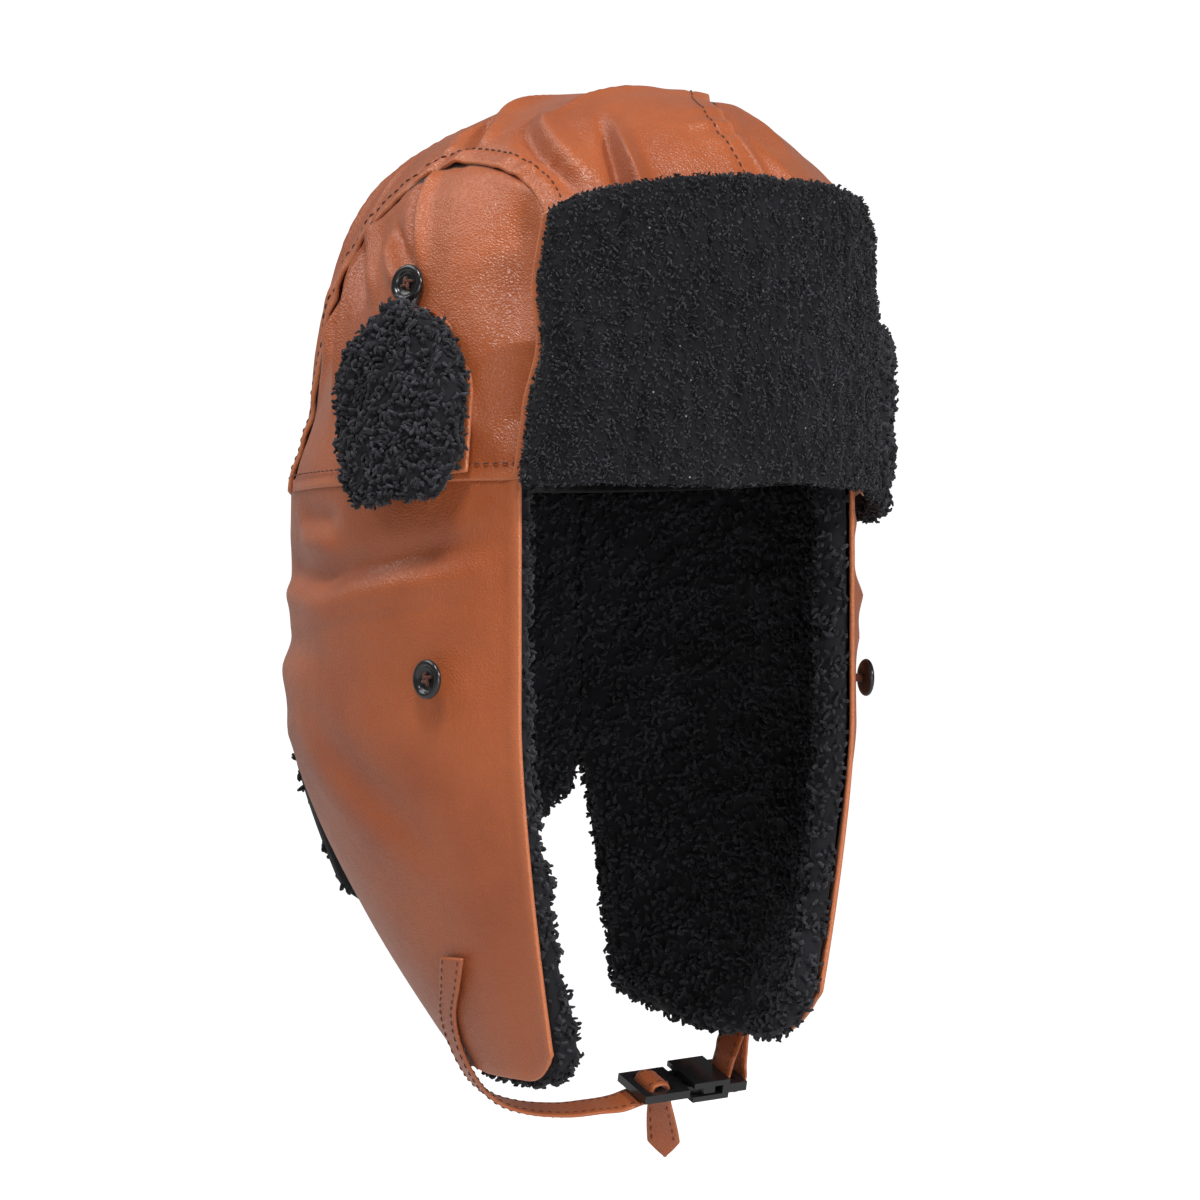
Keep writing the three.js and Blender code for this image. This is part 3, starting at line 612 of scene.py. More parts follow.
def cloth_material(name, finish, scale, varied, dark, pale, relief):
    """Satin or thread: two tones between which one output of the fibres varies, with the fibres in relief."""
    tree, shader = surface(name, *finish)
    fibre = use(tree, "fibres", Scale=scale)
    tone = ramp(tree, fibre.outputs[varied], [(0.3, dark), (0.7, pale)])
    tree.links.new(tone, shader.inputs["Base Color"])
    bump(tree, shader, fibre.outputs["Fibre"], 0.0001, relief)


def plastic_material():
    tree, shader = surface("black_plastic", 0.24, 0.5, 0.0, 0.3)
    grain = use(tree, "leather_grain")
    tone = ramp(tree, grain.outputs["Soft"], [(0.3, (0.008, 0.008, 0.009)), (0.7, (0.017, 0.017, 0.019))])
    tree.links.new(tone, shader.inputs["Base Color"])
    tree.links.new(scaled(tree, grain.outputs["Soft"], 0.16, 0.14), shader.inputs["Roughness"])


def make_materials():
    colours = bpy.context.scene.hat_settings
    grain_group()
    fibre_group()
    leather_material(colours.leather)
    pile_material("long_pile", colours.pile, 0.0)
    # The short pile is the pile's colour darkened to three quarters: painted shade that offsets the front lamp on
    # the front flap.
    pile_material("short_pile", 0.75 * np.array(colours.pile), 0.055)
    cloth_material("black_satin", (0.42, 0.5, 0.2), 2200.0, "Patch",
                   (0.006, 0.006, 0.007), (0.014, 0.014, 0.016), 0.4)
    cloth_material("rust_thread", (0.7, 0.3, 0.3), 2600.0, "Fibre",
                   (0.05, 0.014, 0.006), (0.17, 0.045, 0.018), 0.6)
    plastic_material()


# ------------------------------------------------------------------ stitches, pile and leather
def setting(name):
    """A size set by the user, in millimetres."""
    return getattr(bpy.context.scene.hat_settings, name) / MM


def stitches(name, path, normals, body=None, blend=None, length=2.2, radius=0.28):
    """Raised capsules laid end to end along a path, their ends dipping into the leather."""
    step = np.linalg.norm(np.diff(path, axis=0), axis=1)
    run = np.concatenate([[0], np.cumsum(step)])
    count = int(run[-1] / setting("stitch_pitch"))
    centre = (np.arange(count) + 0.5) * run[-1] / count
    shares = np.linspace(-0.5, 0.5, 6)
    at = centre[:, None] + shares[None] * length
    points = np.stack([np.interp(at, run, path[:, k]) for k in range(3)], -1)
    up = unit(np.stack([np.interp(at, run, normals[:, k]) for k in range(3)], -1))
    bow = 1 - (2 * shares) ** 2
    points = points + up * (0.34 * bow - 0.12)[None, :, None]
    radii = np.broadcast_to(radius * np.sqrt(np.maximum(0.08, 1 - (2 * shares) ** 4)), points.shape[:2])
    dress(build(name, *tubes(points, up, radii, 6), "rust_thread"), [], body, blend)


def curls(points, normals, rng, size, steps, sides, contrast):
    """Short hooked locks of pile: each path is part of a circle that leaves the surface and bends over."""
    n = len(points)
    lean = unit(np.cross(normals, unit(rng.normal(size=(n, 3)))))
    side = np.cross(normals, lean)
    s = np.linspace(0, 1, steps)
    turn = rng.uniform(1.1, 2.6, n)[:, None] * s
    reach = size * rng.uniform(0.65, 1.35, n)[:, None]
    twist = 0.7 * size * rng.normal(size=n)[:, None] * s ** 2
    paths = (points[:, None] - normals[:, None] * size * 0.35
             + normals[:, None] * (reach * (np.sin(turn) + 0.4 * s))[..., None]
             + lean[:, None] * (reach * (1 - np.cos(turn)) * 0.8)[..., None]
             + side[:, None] * twist[..., None])
    radii = 0.62 * size * rng.uniform(0.75, 1.2, n)[:, None] * (1 - 0.62 * s ** 2)
    verts, face_sets = tubes(paths, side[:, None], radii, sides)
    # Each lock darkens towards its root, painted shade deep in the pile, and varies at random from lock to lock.
    tone = 0.22 + 0.4 * s[None] + contrast * (rng.random(n)[:, None] - 0.5)
    return verts, outward(verts, face_sets), np.repeat(np.clip(tone, 0, 1).ravel(), sides)


def pile(name, cad_node, hinge, face, back, seed, size, spacing, relief,
         finish="long_pile", steps=4, sides=4, bulge=0.5, contrast=0.6):
    """Curly pile: a knitted base between two grids with lumps, covered by hooked locks on its face and rim."""
    quads = (face.shape[0] - 1) * (face.shape[1] - 1)
    rng = np.random.default_rng(seed)
    out = unit(face - back)
    lumps = layered(face / 4.6, seed) * relief + layered(face / 17.0, seed + 9, 2) * relief
    verts, faces = shell(face + out * lumps[..., None], back, bulge=bulge)
    a, b, c, d = (verts[faces[:, k]] for k in range(4))
    normal = np.cross(c - a, d - b)
    weight = np.linalg.norm(normal, axis=1) / 2
    weight[quads:2 * quads] = 0
    if np.sum(unit(normal[:quads]) * out[:-1, :-1].reshape(-1, 3)) < 0:
        normal, faces = -normal, faces[:, ::-1]
    count = int(weight.sum() / spacing ** 2)
    pick = rng.choice(len(faces), count, p=weight / weight.sum())
    s, t = rng.random((2, count, 1))
    points = lerp(lerp(a[pick], b[pick], s), lerp(d[pick], c[pick], s), t)
    lock_verts, lock_faces, tip = curls(points, unit(normal)[pick], rng, size, steps, sides, contrast)
    face_sets = [faces, *(f + len(verts) for f in lock_faces)]
    # The knitted base gets a low tone: painted shade under the locks.
    tips = np.concatenate([np.full(len(verts), 0.1), tip])
    obj = build(name, np.vstack([verts, lock_verts]), face_sets, finish, {"tip": tips})
    dress(obj, [cad_node], blend=hinge)


def sampled(points, column, row):
    """Grid points between rows and columns: the four neighbours weighted by nearness."""
    i = np.clip(np.floor(column).astype(int), 0, points.shape[0] - 2)
    j = np.clip(np.floor(row).astype(int), 0, points.shape[1] - 2)
    a, b = (column - i)[:, None], (row - j)[:, None]
    return lerp(lerp(points[i, j], points[i + 1, j], a), lerp(points[i, j + 1], points[i + 1, j + 1], a), b)


def leather(name, cad_node, outer, centre, thickness, wear_and_highlight_width=3.0, painted_seam_shadow=None, body=None, blend=None):
    """A leather piece from its outer grid: its inner grid lies one thickness nearer to centre, its rim is round
    and its edges are worn."""
    inner = outer - normals_of(outer, centre) * thickness
    verts, faces = shell(outer, inner, rims=4)
    columns, rows = outer.shape[:2]
    i, j = np.meshgrid(np.arange(columns), np.arange(rows), indexing="ij")
    across, along = (np.linalg.norm(np.diff(outer, axis=k), axis=-1).mean() for k in (0, 1))
    away = np.minimum(np.minimum(i, columns - 1 - i) * across, np.minimum(j, rows - 1 - j) * along)
    # Paler towards the edges and on the rim: wear, and a painted highlight on the rounded edge.
    wear_and_highlight = 0.35 * (1 - smooth(away, 0, wear_and_highlight_width)).ravel()
    rim = np.full(len(verts) - 2 * len(wear_and_highlight), 0.8)
    dark = np.zeros(len(verts))
    # Painted shadow along the seams, on the outer face only; the material mixes it nearly to black.
    if painted_seam_shadow is not None:
        dark[: len(wear_and_highlight)] = painted_seam_shadow.ravel()
    attributes = {"wear_and_highlight": np.concatenate([wear_and_highlight, wear_and_highlight, rim]), "painted_seam_shadow": dark}
    obj = build(name, verts, [faces], "tan_leather", attributes)
    dress(obj, [cad_node], body, blend)


def lathe(name, section, centre, axis, material_name, steps=48):
    """A turned piece: a half section of (radius, height) spun about an axis, each pole closed by one point."""
    e1 = unit(np.cross(axis, (0.3, 0.1, 1.0)))
    e2 = np.cross(axis, e1)
    turn = 2 * np.pi * np.arange(steps) / steps
    ring = np.cos(turn)[:, None] * e1 + np.sin(turn)[:, None] * e2
    rings = section[1:-1]
    verts = rings[:, None, :1] * ring[None] + rings[:, None, 1:] * axis
    poles = section[[0, -1], 1:] * axis
    verts = np.vstack([verts.reshape(-1, 3), poles]) + centre
    i, walls = ring_walls(len(rings), steps)
    low = np.stack([np.full(steps, i.size), np.roll(i[0], -1), i[0]], 1)
    high = np.stack([np.full(steps, i.size + 1), i[-1], np.roll(i[-1], -1)], 1)
    return build(name, verts, [walls, np.vstack([low, high])], material_name)


# ------------------------------------------------------------------ stage
def aimed(obj, place, direction):
    """Puts a camera or lamp at a place, looking in a direction."""
    obj.location = place
    obj.rotation_euler = direction.to_track_quat("-Z", "Y").to_euler()
    bpy.context.scene.collection.objects.link(obj)


def to_camera(tree, gain, base):
    """A strength that is gain higher for what the camera sees directly than for the light that things get."""
    return scaled(tree, tree.nodes.new("ShaderNodeLightPath").outputs["Is Camera Ray"], gain, base)


def stage():
    scene = bpy.context.scene
    camera = bpy.data.objects.new("camera", bpy.data.cameras.new("camera"))
    yaw, pitch = math.radians(CAMERA_YAW), math.radians(CAMERA_PITCH)
    look = Vector((math.sin(yaw) * math.cos(pitch), math.cos(yaw) * math.cos(pitch), math.sin(pitch)))
    aimed(camera, CAMERA_PLACE, look)
    camera.data.angle = math.radians(CAMERA_VIEW)
    scene.camera = camera
    scene.view_settings.view_transform = "Standard"
    scene.world = bpy.data.worlds.new("studio")
    scene.world.use_nodes = True
    sky = scene.world.node_tree
    background = sky.nodes["Background"]
    background.inputs["Color"].default_value = (1, 1, 1, 1)
    sky.links.new(to_camera(sky, 0.85, 0.11), background.inputs["Strength"])
    for name, place, size, power in LIGHTS:
        data = bpy.data.lights.new(name, "AREA")
        data.energy = power
        data.size = size
        lamp = bpy.data.objects.new(name, data)
        aimed(lamp, place, Vector((0, 0, -0.03)) - Vector(place))
    backdrop()


def backdrop():
    """White paper: a flat floor that turns up behind the hat in a quarter of an ellipse."""
    tree, shader = surface("paper", 0.9, 0.1)
    mottle = node(tree, "ShaderNodeTexNoise", in_2=1.3).outputs[0]
    for key, dark, pale in (("Base Color", 0.58, 0.62), ("Emission Color", 0.92, 0.96)):
        tree.links.new(ramp(tree, mottle, [(0.3, (dark,) * 3), (0.7, (pale,) * 3)]), shader.inputs[key])
    tree.links.new(to_camera(tree, 0.88, 0.12), shader.inputs["Emission Strength"])
    columns, rows = 3, 40
    x, v = grid(columns, rows, (-6000, 6000))
    run = 3 * v
    turn = np.clip(run - 2, 0, 1) * np.pi / 2
    y = np.where(run < 2, -4000 + 3500 * run, 3000 + 1500 * np.sin(turn))
    z = FLOOR + 3000 * (1 - np.cos(turn))
    points = np.stack([x, y, z], -1).reshape(-1, 3)
    build("backdrop", points, [quads_of(columns, rows)], "paper")


# ------------------------------------------------------------------ folds
def along_noise(a, b, c, seed):
    """Noise on three coordinates that may be grids or plain numbers."""
    return noise(np.stack(np.broadcast_arrays(a, b, c), -1), seed)


def creases(p, seed):
    """Ridged noise from 0 to 1: sharp crests where the noise crosses zero, with soft valleys between."""
    return (1 - np.abs(noise(p, seed))) ** 3


def pulled(q, folds, stretch):
    """Pulled folds on flat coordinates, the first one stretched to a length: along each line a rounded valley and
    a ridge beside it, tapered at both ends. A negative width puts the ridge on the other side."""
    scale = np.array([stretch, 1])
    total = 0
    for start, end, width, depth in folds:
        start, end = start * scale, end * scale
        run = end - start
        length = np.hypot(*run)
        s = ((q * scale - start) @ run) / length ** 2
        d = ((q * scale - start) @ np.array([-run[1], run[0]])) / length / width
        taper = smooth(s, -0.25, 0.3) * (1 - smooth(s, 0.7, 1.25))
        total = total + depth * taper * (0.75 * np.exp(-((d - 1.5) / 1.1) ** 2) - np.exp(-d ** 2))
    return total


def crown_pulls(p):
    """The crown's pulled folds on the angle and the height of each point."""
    q = np.stack([np.degrees(np.arctan2(p[..., 0], -p[..., 1])), p[..., 2]], -1)
    return pulled(q, CROWN_FOLDS, DEGREE_LENGTH)


def crown_wrinkles(p):
    """Soft folds hanging from the seams: creases drawn out along the height, and broad dents."""
    x, y, z = p[..., 0], p[..., 1], p[..., 2]
    t = np.arctan2(x, -y)
    hanging = np.stack([t * 3.4 + z / 160, z / 85, 0 * z + 3], -1)
    dents = layered(p / 42, 4, 2)
    over_top = smooth(z, 96, 122)
    folds = creases(hanging, 11) * (1 - over_top) + creases(p / (70, 26, 60), 15) * over_top * 0.7
    beside_flap = np.exp(-((np.abs(np.degrees(t)) - 41) / 5) ** 2) * smooth(z, 3, 20) * (1 - smooth(z, 78, 95))
    return (3.6 * folds - 1.5) * smooth(z, 8, 50) + 2.0 * dents * smooth(z, 4, 30) - 3.8 * beside_flap


def puckers(s, away, seed, pitch):
    """Small gathers running off a seam, fading within 18 mm of it."""
    return 0.95 * along_noise(s / pitch, away / 60, seed, seed) * (1 - smooth(away, 0, 18))


def ear_folds(u, z, side):
    """Creases below the band that run round the head and soft waves down the flap, fading out at its edges."""
    across = np.stack([u * 1.5 - z / 150, z / 21 + u * 0.9, 0 * u + side], -1)
    down = np.stack([u * 3.2, z / 75, 0 * u + 5 + side], -1)
    near_top = smooth(-z, 2, 16) * (1 - smooth(-z, 55, 110))
    lengthened = z * (0.86 if side == LEFT else 1.0)
    own = pulled(np.stack([u, lengthened], -1), EAR_FOLDS, EAR_WIDTH)
    folds = own + (1.6 * creases(across, 23) - 0.6) * near_top + 1.7 * layered(down, 31, 2) * smooth(-z, 10, 50)
    return folds * smooth(inwards(u), 0, 0.12)


def inwards(u):
    """How far in from the nearer side edge, as a share of the width."""
    return np.minimum(u, 1 - u)


# ------------------------------------------------------------------ crown and lining
def hemmed(p, lift):
    """A crown panel lifted along its normals, with a thicker hem that hangs a little below the band."""
    normals = normals_of(p, INSIDE)
    p = p + normals * (lift + 0.9 * (1 - smooth(p[..., 2], 0, 5)))[..., None]
    p[..., 2] -= 1.6 * (1 - smooth(p[..., 2], 0, 6))
    return p


def top_panel():
    """The strip between the two seams, lapping a little over each. Returns its points and its widths."""
    columns, rows = 260, 130
    u, v = grid(columns, rows)
    width = np.arccos(np.clip(np.sum(seam(RIGHT, u[:, 0]) * seam(LEFT, u[:, 0]), -1), -1, 1)) * 112
    over = (SEAM_OVERLAP / width)[:, None]
    share = lerp(-over, 1 + over, v)
    p = dome(top_direction(u, share))
    away = np.minimum(share, 1 - share) * width[:, None]
    lift = 0.9 * (1 - smooth(away, 3, 12)) - 0.4 * np.exp(-((away - 3.6) / 1.1) ** 2)
    lift = lift + puckers(u * SEAM_LENGTH, away, 3, 9) + crown_wrinkles(p) * smooth(away, 0, 26)
    p = hemmed(p, lift + crown_pulls(p) * smooth(away, 1, 7))
    leather("crown_top_panel", "top_panel", p, INSIDE, setting("leather_thickness"), body="crown")
    return p, width


def side_panel(side):
    """The panel over an ear, sunk and darkened where it runs under the seam."""
    u, v = grid(150, 120)
    p = dome(side_direction(side, u, v))
    away = np.minimum(inwards(u) * SIDE_RUN, (1 - v) * SIDE_RISE)
    lift = crown_wrinkles(p) * smooth(away, 2, 20) + crown_pulls(p) * smooth(away, 1, 7)
    lift = lift - 0.5 * (1 - smooth(away, 2.5, 6)) + 0.5 * np.exp(-((away - 9) / 3) ** 2)
    lift = lift + 0.9 * puckers(u * 150 + v * 40, away, 8 + side, 8)
    # Painted shadow along the seam: this strip of the panel is painted nearly black.
    seam_shadow_mask = 1 - smooth(away + (0.9 if side == LEFT else 0), 4.0, 5.2)
    name = SIDE_NAME[side]
    leather(f"crown_side_{name}", f"side_panel_{name}", hemmed(p, lift), INSIDE, setting("leather_thickness"),
            painted_seam_shadow=seam_shadow_mask, body="crown")


def seam_stitches(side, top, width):
    """A row of stitches on the top panel, a steady way in from one of its seams."""
    s = np.linspace(0.015, 0.985, 700)
    u = np.linspace(0, 1, len(width))
    inset, over = STITCH_INSET / np.interp(s, u, width), np.interp(s, u, SEAM_OVERLAP / width)
    share = inset if side == RIGHT else 1 - inset
    column, row = s * (top.shape[0] - 1), (share + over) / (1 + 2 * over) * (top.shape[1] - 1)
    up = unit(sampled(normals_of(top, INSIDE), column, row))
    stitches(f"crown_stitches_{SIDE_NAME[side]}", sampled(top, column, row) + up * 0.1, up, "crown")


def crown():
    """Three panels, their seam stitches, and the stitches round the band."""
    top, width = top_panel()
    for side in (RIGHT, LEFT):
        side_panel(side)
        seam_stitches(side, top, width)
    path = skirt_arc(LEFT, np.linspace(0, 360, 900), 3.0, 0.5)
    stitches("band_stitches", path, unit(path * (1, 1, 0)), "crown")


def hoop(name, cad_node, layer, outer, inner):
    """A closed ring of cloth between two layers, each a grid of points whose first and last columns meet."""
    rings = np.concatenate([layer(outer)[:-1, ::-1], layer(inner)[:-1]], 1)
    i = np.arange(rings[..., 0].size).reshape(rings.shape[:2])
    j = np.roll(i, -1, 0)
    walls = np.stack([i, j, np.roll(j, -1, 1), np.roll(i, -1, 1)], -1).reshape(-1, 4)
    dress(build(name, rings.reshape(-1, 3), [walls], "black_satin"), [cad_node], "crown")


def lining():
    """The inner dome, a quarter profile turned round the crown's ellipse and drawn into soft pleats, and the
    gathered sweatband below it."""
    t, k = grid(181, 60, (0, 2 * np.pi), (0.01, 1))
    s = np.sin(lerp(0, np.pi / 2, k))

    def inner_dome(offset):
        h = (HEIGHT + offset) * s
        r = np.sqrt(np.maximum(0.0004, 1 - s ** 4)) * (1 + 0.006 * np.sin(t * 46) * (1 - smooth(k, 0.1, 0.7)))
        x, y = (HALF_WIDTH + offset) * r * np.sin(t), -(HALF_LENGTH + offset) * r * np.cos(t)
        return leaned(x, y, h) + (0, 0, 1)

    hoop("crown_lining_cloth", "crown_lining", inner_dome, -6.4, -8.4)
    t, v = grid(361, 16, (0, 2 * np.pi))

    def band(offset):
        out = offset + 0.7 * np.sin(t * 95 + 2 * np.sin(t * 7)) * np.sin(v * np.pi)
        return leaned((HALF_WIDTH + out) * np.sin(t), -(HALF_LENGTH + out) * np.cos(t), lerp(1.5, 26, v))

    hoop("sweatband_elastic", "sweatband", band, -9.9, -11.3)


# ------------------------------------------------------------------ flaps and tabs
def ear_flap(side):
    """Leather on the ear surface with its folds, its edges raised a little, and pile inside it whose back
    follows the folds and whose rear edge curls out past the leather as a fringe."""
    name = SIDE_NAME[side]
    body = f"{name}_ear_flap"
    hinge = ("crown", body, (0, 0, 0.002), (0, 0, -0.045))
    u, v = grid(130, 160)
    z = lerp(ear_bottom(side, u), LEATHER_TOP, v)
    outer = ear_surface(side, u, z, ear_folds(u, z, side) + 0.6 * (1 - smooth(inwards(u), 0, 1 / 30)))
    leather(f"{name}_ear_leather", f"{body}_leather", outer, (0, 10, -90), setting("leather_thickness") + 0.1,
            wear_and_highlight_width=4, blend=hinge)
    first, last = 0.004, 0.99
    u, v = grid(88, 110, (first, last))
    z = lerp(ear_bottom(side, u) - 0.4, PILE_TOP, v)
    under = np.minimum(ear_folds(u, z, side), 0.6) - 0.3
    fringe = smooth(-z, 76, 96) * (1 - smooth(-z, 138, 160)) * (1 if side == RIGHT else 0.3)
    past = 0.045 * fringe * u ** 8
    curl = 15 * fringe * smooth(u + past, 0.985, 1.03)
    back = ear_surface(side, u + past, z, curl + under + PILE_BACK)
    low = ear_bottom(side, u) + (1.2 if side == RIGHT else 3.0)
    rear = 0.985 - (0.05 * smooth(-z, 90, 135) if side == LEFT else 0)
    face = ear_surface(side, lerp(0.006, rear, (u - first) / (last - first)) + past, lerp(low, PILE_TOP, v),
                       curl + 0.5 * under - 11.2)
    pile(f"{name}_ear_pile", f"{body}_sherpa", hinge, face, back, 40 + side,
         size=1.45, spacing=2.35, relief=1.3)


def ear_flaps():
    for side in (RIGHT, LEFT):
        ear_flap(side)


def nape():
    """Leather and pile on the nape surface, their lower corners rounded by a cube of the way out."""
    hinge = ("crown", "nape_flap", (0, 0, 0.002), (0, 0, -0.04))
    u, v = grid(90, 110)
    z = lerp(-NAPE_LENGTH + NAPE_ROUNDING * np.abs(2 * u - 1) ** 3, LEATHER_TOP, v)
    fold = 1.1 * layered(np.stack([u * 3, z / 40, 0 * u], -1), 51, 2) * smooth(inwards(u), 0, 0.15)
    leather("nape_leather", "nape_flap_leather", nape_surface(u, z, fold), (0, 0, -60),
            setting("leather_thickness") + 0.1, wear_and_highlight_width=4, blend=hinge)
    u, v = grid(64, 84, (0.01, 0.99))
    z = lerp(-NAPE_LENGTH - 1 + NAPE_ROUNDING * np.abs(2 * u - 1) ** 3, PILE_TOP, v)
    pile("nape_pile", "nape_flap_sherpa", hinge, nape_surface(u, z, -10.8), nape_surface(u, z, PILE_BACK), 60,
         size=1.45, spacing=2.2, relief=1.3)


def brow_sheet(u, v, low, rise, offset):
    """A layer of the front flap between its wavy hem and its bowed top with rounded corners."""
    k = 2 * u - 1
    top = 91 + rise - 5 * k ** 2 + 0.9 * along_noise(u * 9, 0, 0, 5)
    corner = 4 * smooth(0.12 - u, 0, 0.12) ** 2 + 9 * smooth(u, 0.8, 1) ** 2
    hem = low + 1.1 * along_noise(u * 7, 0, 0, 8) - 4.5 * smooth(u, 0.86, 1)
    sway = 0.014 * along_noise(v * 4, 0, 4, 9) * np.abs(k) ** 4
    spread = u - 0.027 * smooth(v, 0, 1) * (1 - u) ** 3
    return brow_surface(spread + sway * np.sign(2 * spread - 1), v, lerp(hem, top - corner, v), offset)


def front_flap():
    """Leather and pile as two layers of the brow, the pile's face combed into upright streaks."""
    hinge = ("crown", "front_flap", (0, 0, -0.006), (0, 0, 0.024))
    u, v = grid(130, 90)
    wave = 0.7 * layered(np.stack([u * 4, v * 2, 0 * u], -1), 71, 2) * smooth(v, 0, 0.3)
    leather("front_leather", "front_flap_leather", brow_sheet(u, v, -0.6, 0.4, wave), (0, 60, 40),
            -setting("leather_thickness"), blend=hinge)
    u, v = grid(170, 90, (0.006, 0.984))
    streaks = 0.9 * along_noise(u * 52, v * 6, 0, 77) + 0.5 * along_noise(u * 90, v * 14, 0, 78)
    face = brow_sheet(lerp(0.004, 0.99, u), v, -3.0, 0.6, 9.0 + streaks)
    back = brow_sheet(u, v, -1.5, 0.0, 3.2 + 0 * u)
    pile("front_pile", "front_flap_sherpa", hinge, face, back, 80, size=0.75, spacing=1.3, relief=0.45,
         finish="short_pile", steps=3, sides=3, bulge=0.6, contrast=1.3)


def tab(side):
    """Leather and pile as two layers of the tab, and a loop of cord from its tip round the upper button."""
    name = SIDE_NAME[side]
    body = f"{name}_tab"
    hinge = ("crown", body, (0, 0, -0.005), (0, 0, 0.02))
    u, v = grid(70, 70)
    leather(f"{name}_tab_skin", f"{body}_leather", tab_surface(side, u, v, -0.6, -1.5, 4.4), INSIDE,
            setting("leather_thickness"), blend=hinge)
    u, v = grid(40, 44)
    rounding = 0.1 * (1 - smooth(v, 0, 0.22)) ** 2 * (2 * u - 1)
    out = lerp(10.6, 12.6, smooth(v, 0, 0.35))
    face = tab_surface(side, lerp(0.08, 0.92, u) - rounding, v, -3.2, -8.5, out)
    back = tab_surface(side, u - rounding, v, -2.0, -5.5, 6.2)
    pile(f"{name}_tab_pile", f"{body}_sherpa", hinge, face, back, 90 + side, size=1.4, spacing=1.8, relief=1.5,
         bulge=0.9)
    steps = 60
    x, h = spline([(x, h, 0) for x, h in LOOP_OUTLINE], np.linspace(0, 1, steps)).T[:2]
    out = tab_frame(side)[3]
    path = dome(direction_of(in_tab(side, x, BUTTON_REACH + h, 0 * x)))
    path = path + out * lerp(3.6, 1.8, smooth(h, -9, -2))[:, None]
    cord = build(f"{name}_loop_cord", *tubes(path[None], out, np.full((1, steps), 0.95), 10), "black_satin")
    dress(cord, [f"{body}_loop"], body)


def tabs():
    for side in (RIGHT, LEFT):
        tab(side)


# ------------------------------------------------------------------ buttons, straps and buckle
def button(name, cad_node, body, axis):
    """A turned disc, and its sewing: a thin loop through each of four holes and one thick shank behind."""
    centre = np.mean(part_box(cad_node), axis=0) / MM
    section = spline([(r, h, 0) for r, h in BUTTON_SECTION], np.linspace(0, 1, 49))[:, :2]
    dress(lathe(f"{name}_disc", section, centre, axis, "black_plastic"), [cad_node], body)
    e1 = unit(np.cross(axis, (0, 0, 1.0)))
    e2 = np.cross(axis, e1)
    steps = 12
    s = np.linspace(-1, 1, steps)[:, None]
    bow = centre + axis * (0.9 - 0.9 * s ** 4)
    paths = [
        bow + 1.35 * 0.55 * (a * e1 + b * e2) + (e1 if a * b > 0 else e2) * s * 1.5
        for a, b in ((-1, -1), (1, -1), (-1, 1), (1, 1))]
    paths = np.array([*paths, centre + axis * np.linspace(-3.6, -0.6, steps)[:, None]])
    radii = np.full(paths.shape[:2], 0.5)
    radii[-1] = 1.5
    radii[:, [0, -1]] *= 0.6
    sewing = build(f"{name}_sewing", *tubes(paths, e1 + 0.3 * e2, radii, 8), "rust_thread")
    dress(sewing, [f"{cad_node}_thread"], body)


def buttons():
    for side in (RIGHT, LEFT):
        name = SIDE_NAME[side]
        lower_axis = unit(np.array((side * 0.975, -0.24, 0.0)))
        button(f"{name}_upper", f"{name}_upper_button", "crown", tab_frame(side)[3])
        button(f"{name}_lower", f"{name}_lower_button", f"{name}_ear_flap", lower_axis)


def strap(stem, cad_node, centres, across, steps, point=0.0, body=None, blend=None):
    """A flat strap: a rounded oblong section carried along a smooth path, narrowing to a point over the length
    given, with a row of stitches along both edges of both faces."""
    path = spline(centres, np.linspace(0, 1, steps))
    side = unit(spline(across, np.linspace(0, 1, steps)))
    normal = unit(np.cross(unit(np.gradient(path, axis=0)), side))
    run = np.concatenate([[0], np.cumsum(np.linalg.norm(np.diff(path, axis=0), axis=1))])
    half = np.full(steps, setting("strap_width") / 2)
    if point:
        half = half * np.clip((run[-1] - run) / point, 0.06, 1) ** 0.8
    sides = 20
    turn = 2 * np.pi * np.arange(sides) / sides
    x = np.sign(np.cos(turn)) * np.abs(np.cos(turn)) ** 0.35
    y = np.sign(np.sin(turn)) * np.abs(np.sin(turn)) ** 0.7
    bumps = 0.12 * along_noise(run / 9, 0, 0, 5)
    verts = (path[:, None] + side[:, None] * (x * half[:, None])[..., None]
             + normal[:, None] * (y * STRAP_THICKNESS / 2 + bumps[:, None])[..., None])
    i, walls = ring_walls(steps, sides)
    # Paler at both rounded edges of the strap: wear, and a painted highlight.
    wear_and_highlight = np.broadcast_to(0.4 * np.abs(x) ** 8, (steps, sides)).ravel()
    obj = build(f"{stem}_strap_leather", verts.reshape(-1, 3), [walls, np.stack([i[0, ::-1], i[-1]])],
                "tan_leather", {"wear_and_highlight": wear_and_highlight})
    dress(obj, [cad_node], body, blend)
    sewn = run <= run[-1] - point
    inset = np.maximum(half - 1.9, 0.1)[:, None]
    for k, (edge, face) in enumerate(((-1, -1), (-1, 1), (1, -1), (1, 1))):
        seam_path = path + side * edge * inset + normal * face * STRAP_THICKNESS / 2 * 0.92
        stitches(f"{stem}_strap_stitches_{k}", seam_path[sewn], normal[sewn] * face, body, blend, 2.3, 0.22)


def on_ear(side, places):
    """Points on an ear flap and the level way across it, from (share of the width, height, distance out)."""
    u, z, out = np.array(places, float).T
    points = ear_surface(side, u, z, out)
    return points, unit(ear_surface(side, u + 0.05, z, out) - points)


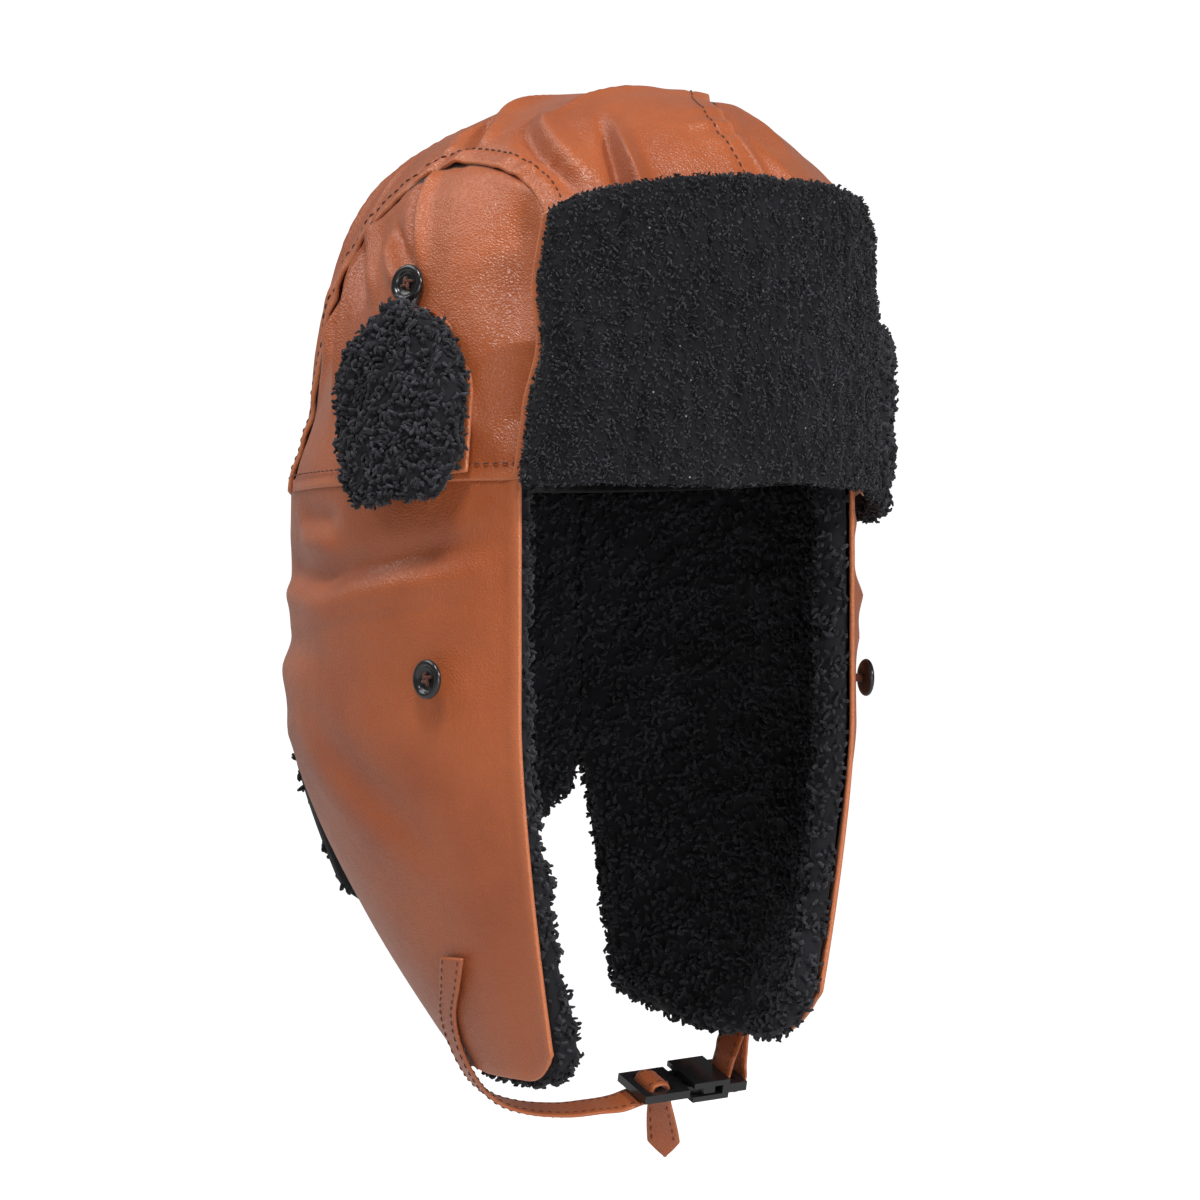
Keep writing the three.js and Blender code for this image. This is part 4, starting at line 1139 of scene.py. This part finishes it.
def straps():
    """The chin strap: sewn along the right ear flap, free across the opening, woven through the plug, its tail
    turning as it hangs. The loop strap: sewn down the left ear flap, round the socket's bar and up again."""
    bar = unit(in_buckle(0, 1, 0) - in_buckle(0, 0, 0))
    sewn, sewn_across = on_ear(RIGHT, [
        (0.27, -158, 1.25), (0.33, -168, 1.25), (0.42, -178, 1.45), (0.49, -188, 1.85), (0.53, -197, 2.25)])
    tail = ((-0.12, 0.95, 0.25), (-0.4, 0.9, 0.15), (-0.62, 0.78, 0.05), (-0.74, 0.67, 0))
    centres = [*sewn, *FREE_RUN, *(in_buckle(x, 0, z) for x, z in WOVEN_RUN)]
    across = [*sewn_across, *[(0, 0.96, 0.28)] * len(FREE_RUN), *[bar] * (len(WOVEN_RUN) - len(tail)), *tail]
    hinge = ("right_ear_flap", "strap", sewn[3] * MM, np.array(FREE_RUN[2]) * MM)
    strap("chin", "chin_strap", centres, across, 420, POINT_LENGTH, blend=hinge)
    front, front_across = on_ear(LEFT, [
        (0.4, -166, 3.45), (0.48, -176, 3.45), (0.55, -185, 3.45), (0.58, -192, 4.65)])
    back, back_across = on_ear(LEFT, [(0.57, -192, 1.45), (0.53, -184, 1.45), (0.47, -176, 1.45)])
    centres = [*front, *(in_buckle(x, 0, z) for x, z in ROUND_BAR), *back]
    across = [*front_across, *[bar] * len(ROUND_BAR), *back_across]
    strap("loop", "socket_strap", centres, across, 300, body="left_ear_flap")


def buckle():
    """The buckle keeps its exact pieces, with their edges eased and a glossy finish."""
    for name in ("buckle_plug", "buckle_prong_front", "buckle_prong_rear", "buckle_socket"):
        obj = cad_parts[name]
        obj.data.materials.clear()
        obj.data.materials.append(bpy.data.materials["black_plastic"])
        ease = obj.modifiers.new("ease", "BEVEL")
        ease.width = 0.0007
        ease.segments = 3
        ease.limit_method = "ANGLE"
        ease.angle_limit = math.radians(35)


# ------------------------------------------------------------------ add-on
class HatSettings(bpy.types.PropertyGroup):
    leather: bpy.props.FloatVectorProperty(
        name="Leather", description="Base colour of the leather", default=(0.41, 0.098, 0.027), size=3,
        min=0, max=1, subtype="COLOR")
    pile: bpy.props.FloatVectorProperty(
        name="Pile", description="Base colour of the curly pile", default=(0.03, 0.03, 0.035), size=3,
        min=0, max=1, subtype="COLOR")
    leather_thickness: bpy.props.FloatProperty(
        name="Leather thickness", description="How thick the leather of the crown is", default=0.0017,
        min=0.0008, max=0.0025, unit="LENGTH")
    stitch_pitch: bpy.props.FloatProperty(
        name="Stitch pitch", description="From one stitch to the next", default=0.0034,
        min=0.002, max=0.008, unit="LENGTH")
    strap_width: bpy.props.FloatProperty(
        name="Strap width", description="Width of the chin strap and the loop strap", default=0.012,
        min=0.008, max=0.014, unit="LENGTH")


def operator(name, label, text, action):
    def execute(self, context):
        action()
        return {"FINISHED"}
    return type(f"HAT_OT_{name}", (bpy.types.Operator,), {
        "bl_idname": f"hat.{name}", "bl_label": label, "__doc__": text, "execute": execute})


OPERATORS = [
    operator("stage", "Stage", "Adds the camera, lights and backdrop", stage),
    operator("materials", "Materials", "Makes the leather, pile, cloth, thread and plastic", make_materials),
    operator("crown", "Crown", "Makes the crown panels and their stitches", crown),
    operator("lining", "Lining", "Makes the inner dome and the sweatband", lining),
    operator("ear_flaps", "Ear flaps", "Makes both ear flaps", ear_flaps),
    operator("nape", "Nape flap", "Makes the nape flap", nape),
    operator("front_flap", "Front flap", "Makes the flap over the brow", front_flap),
    operator("tabs", "Tabs", "Makes the two ear tabs and their loops", tabs),
    operator("buttons", "Buttons", "Makes the sewn buttons", buttons),
    operator("straps", "Straps", "Makes the chin strap and the loop strap", straps),
    operator("buckle", "Buckle", "Finishes the buckle", buckle),
]


class HAT_PT_panel(bpy.types.Panel):
    """Lists the hat's colours and the steps that build it"""

    bl_label = "Trapper hat"
    bl_idname = "HAT_PT_panel"
    bl_space_type = "VIEW_3D"
    bl_region_type = "UI"
    bl_category = "Trapper hat"

    def draw(self, context):
        for name in HatSettings.__annotations__:
            self.layout.prop(context.scene.hat_settings, name)
        for cls in OPERATORS:
            self.layout.operator(cls.bl_idname)


def register():
    for cls in (HatSettings, *OPERATORS, HAT_PT_panel):
        bpy.utils.register_class(cls)
    bpy.types.Scene.hat_settings = bpy.props.PointerProperty(type=HatSettings)


def unregister():
    del bpy.types.Scene.hat_settings
    for cls in reversed((HatSettings, *OPERATORS, HAT_PT_panel)):
        bpy.utils.unregister_class(cls)


def main():
    register()
    for cls in OPERATORS:
        getattr(bpy.ops.hat, cls.bl_idname.split(".")[1])()


if __name__ == "__main__":
    main()
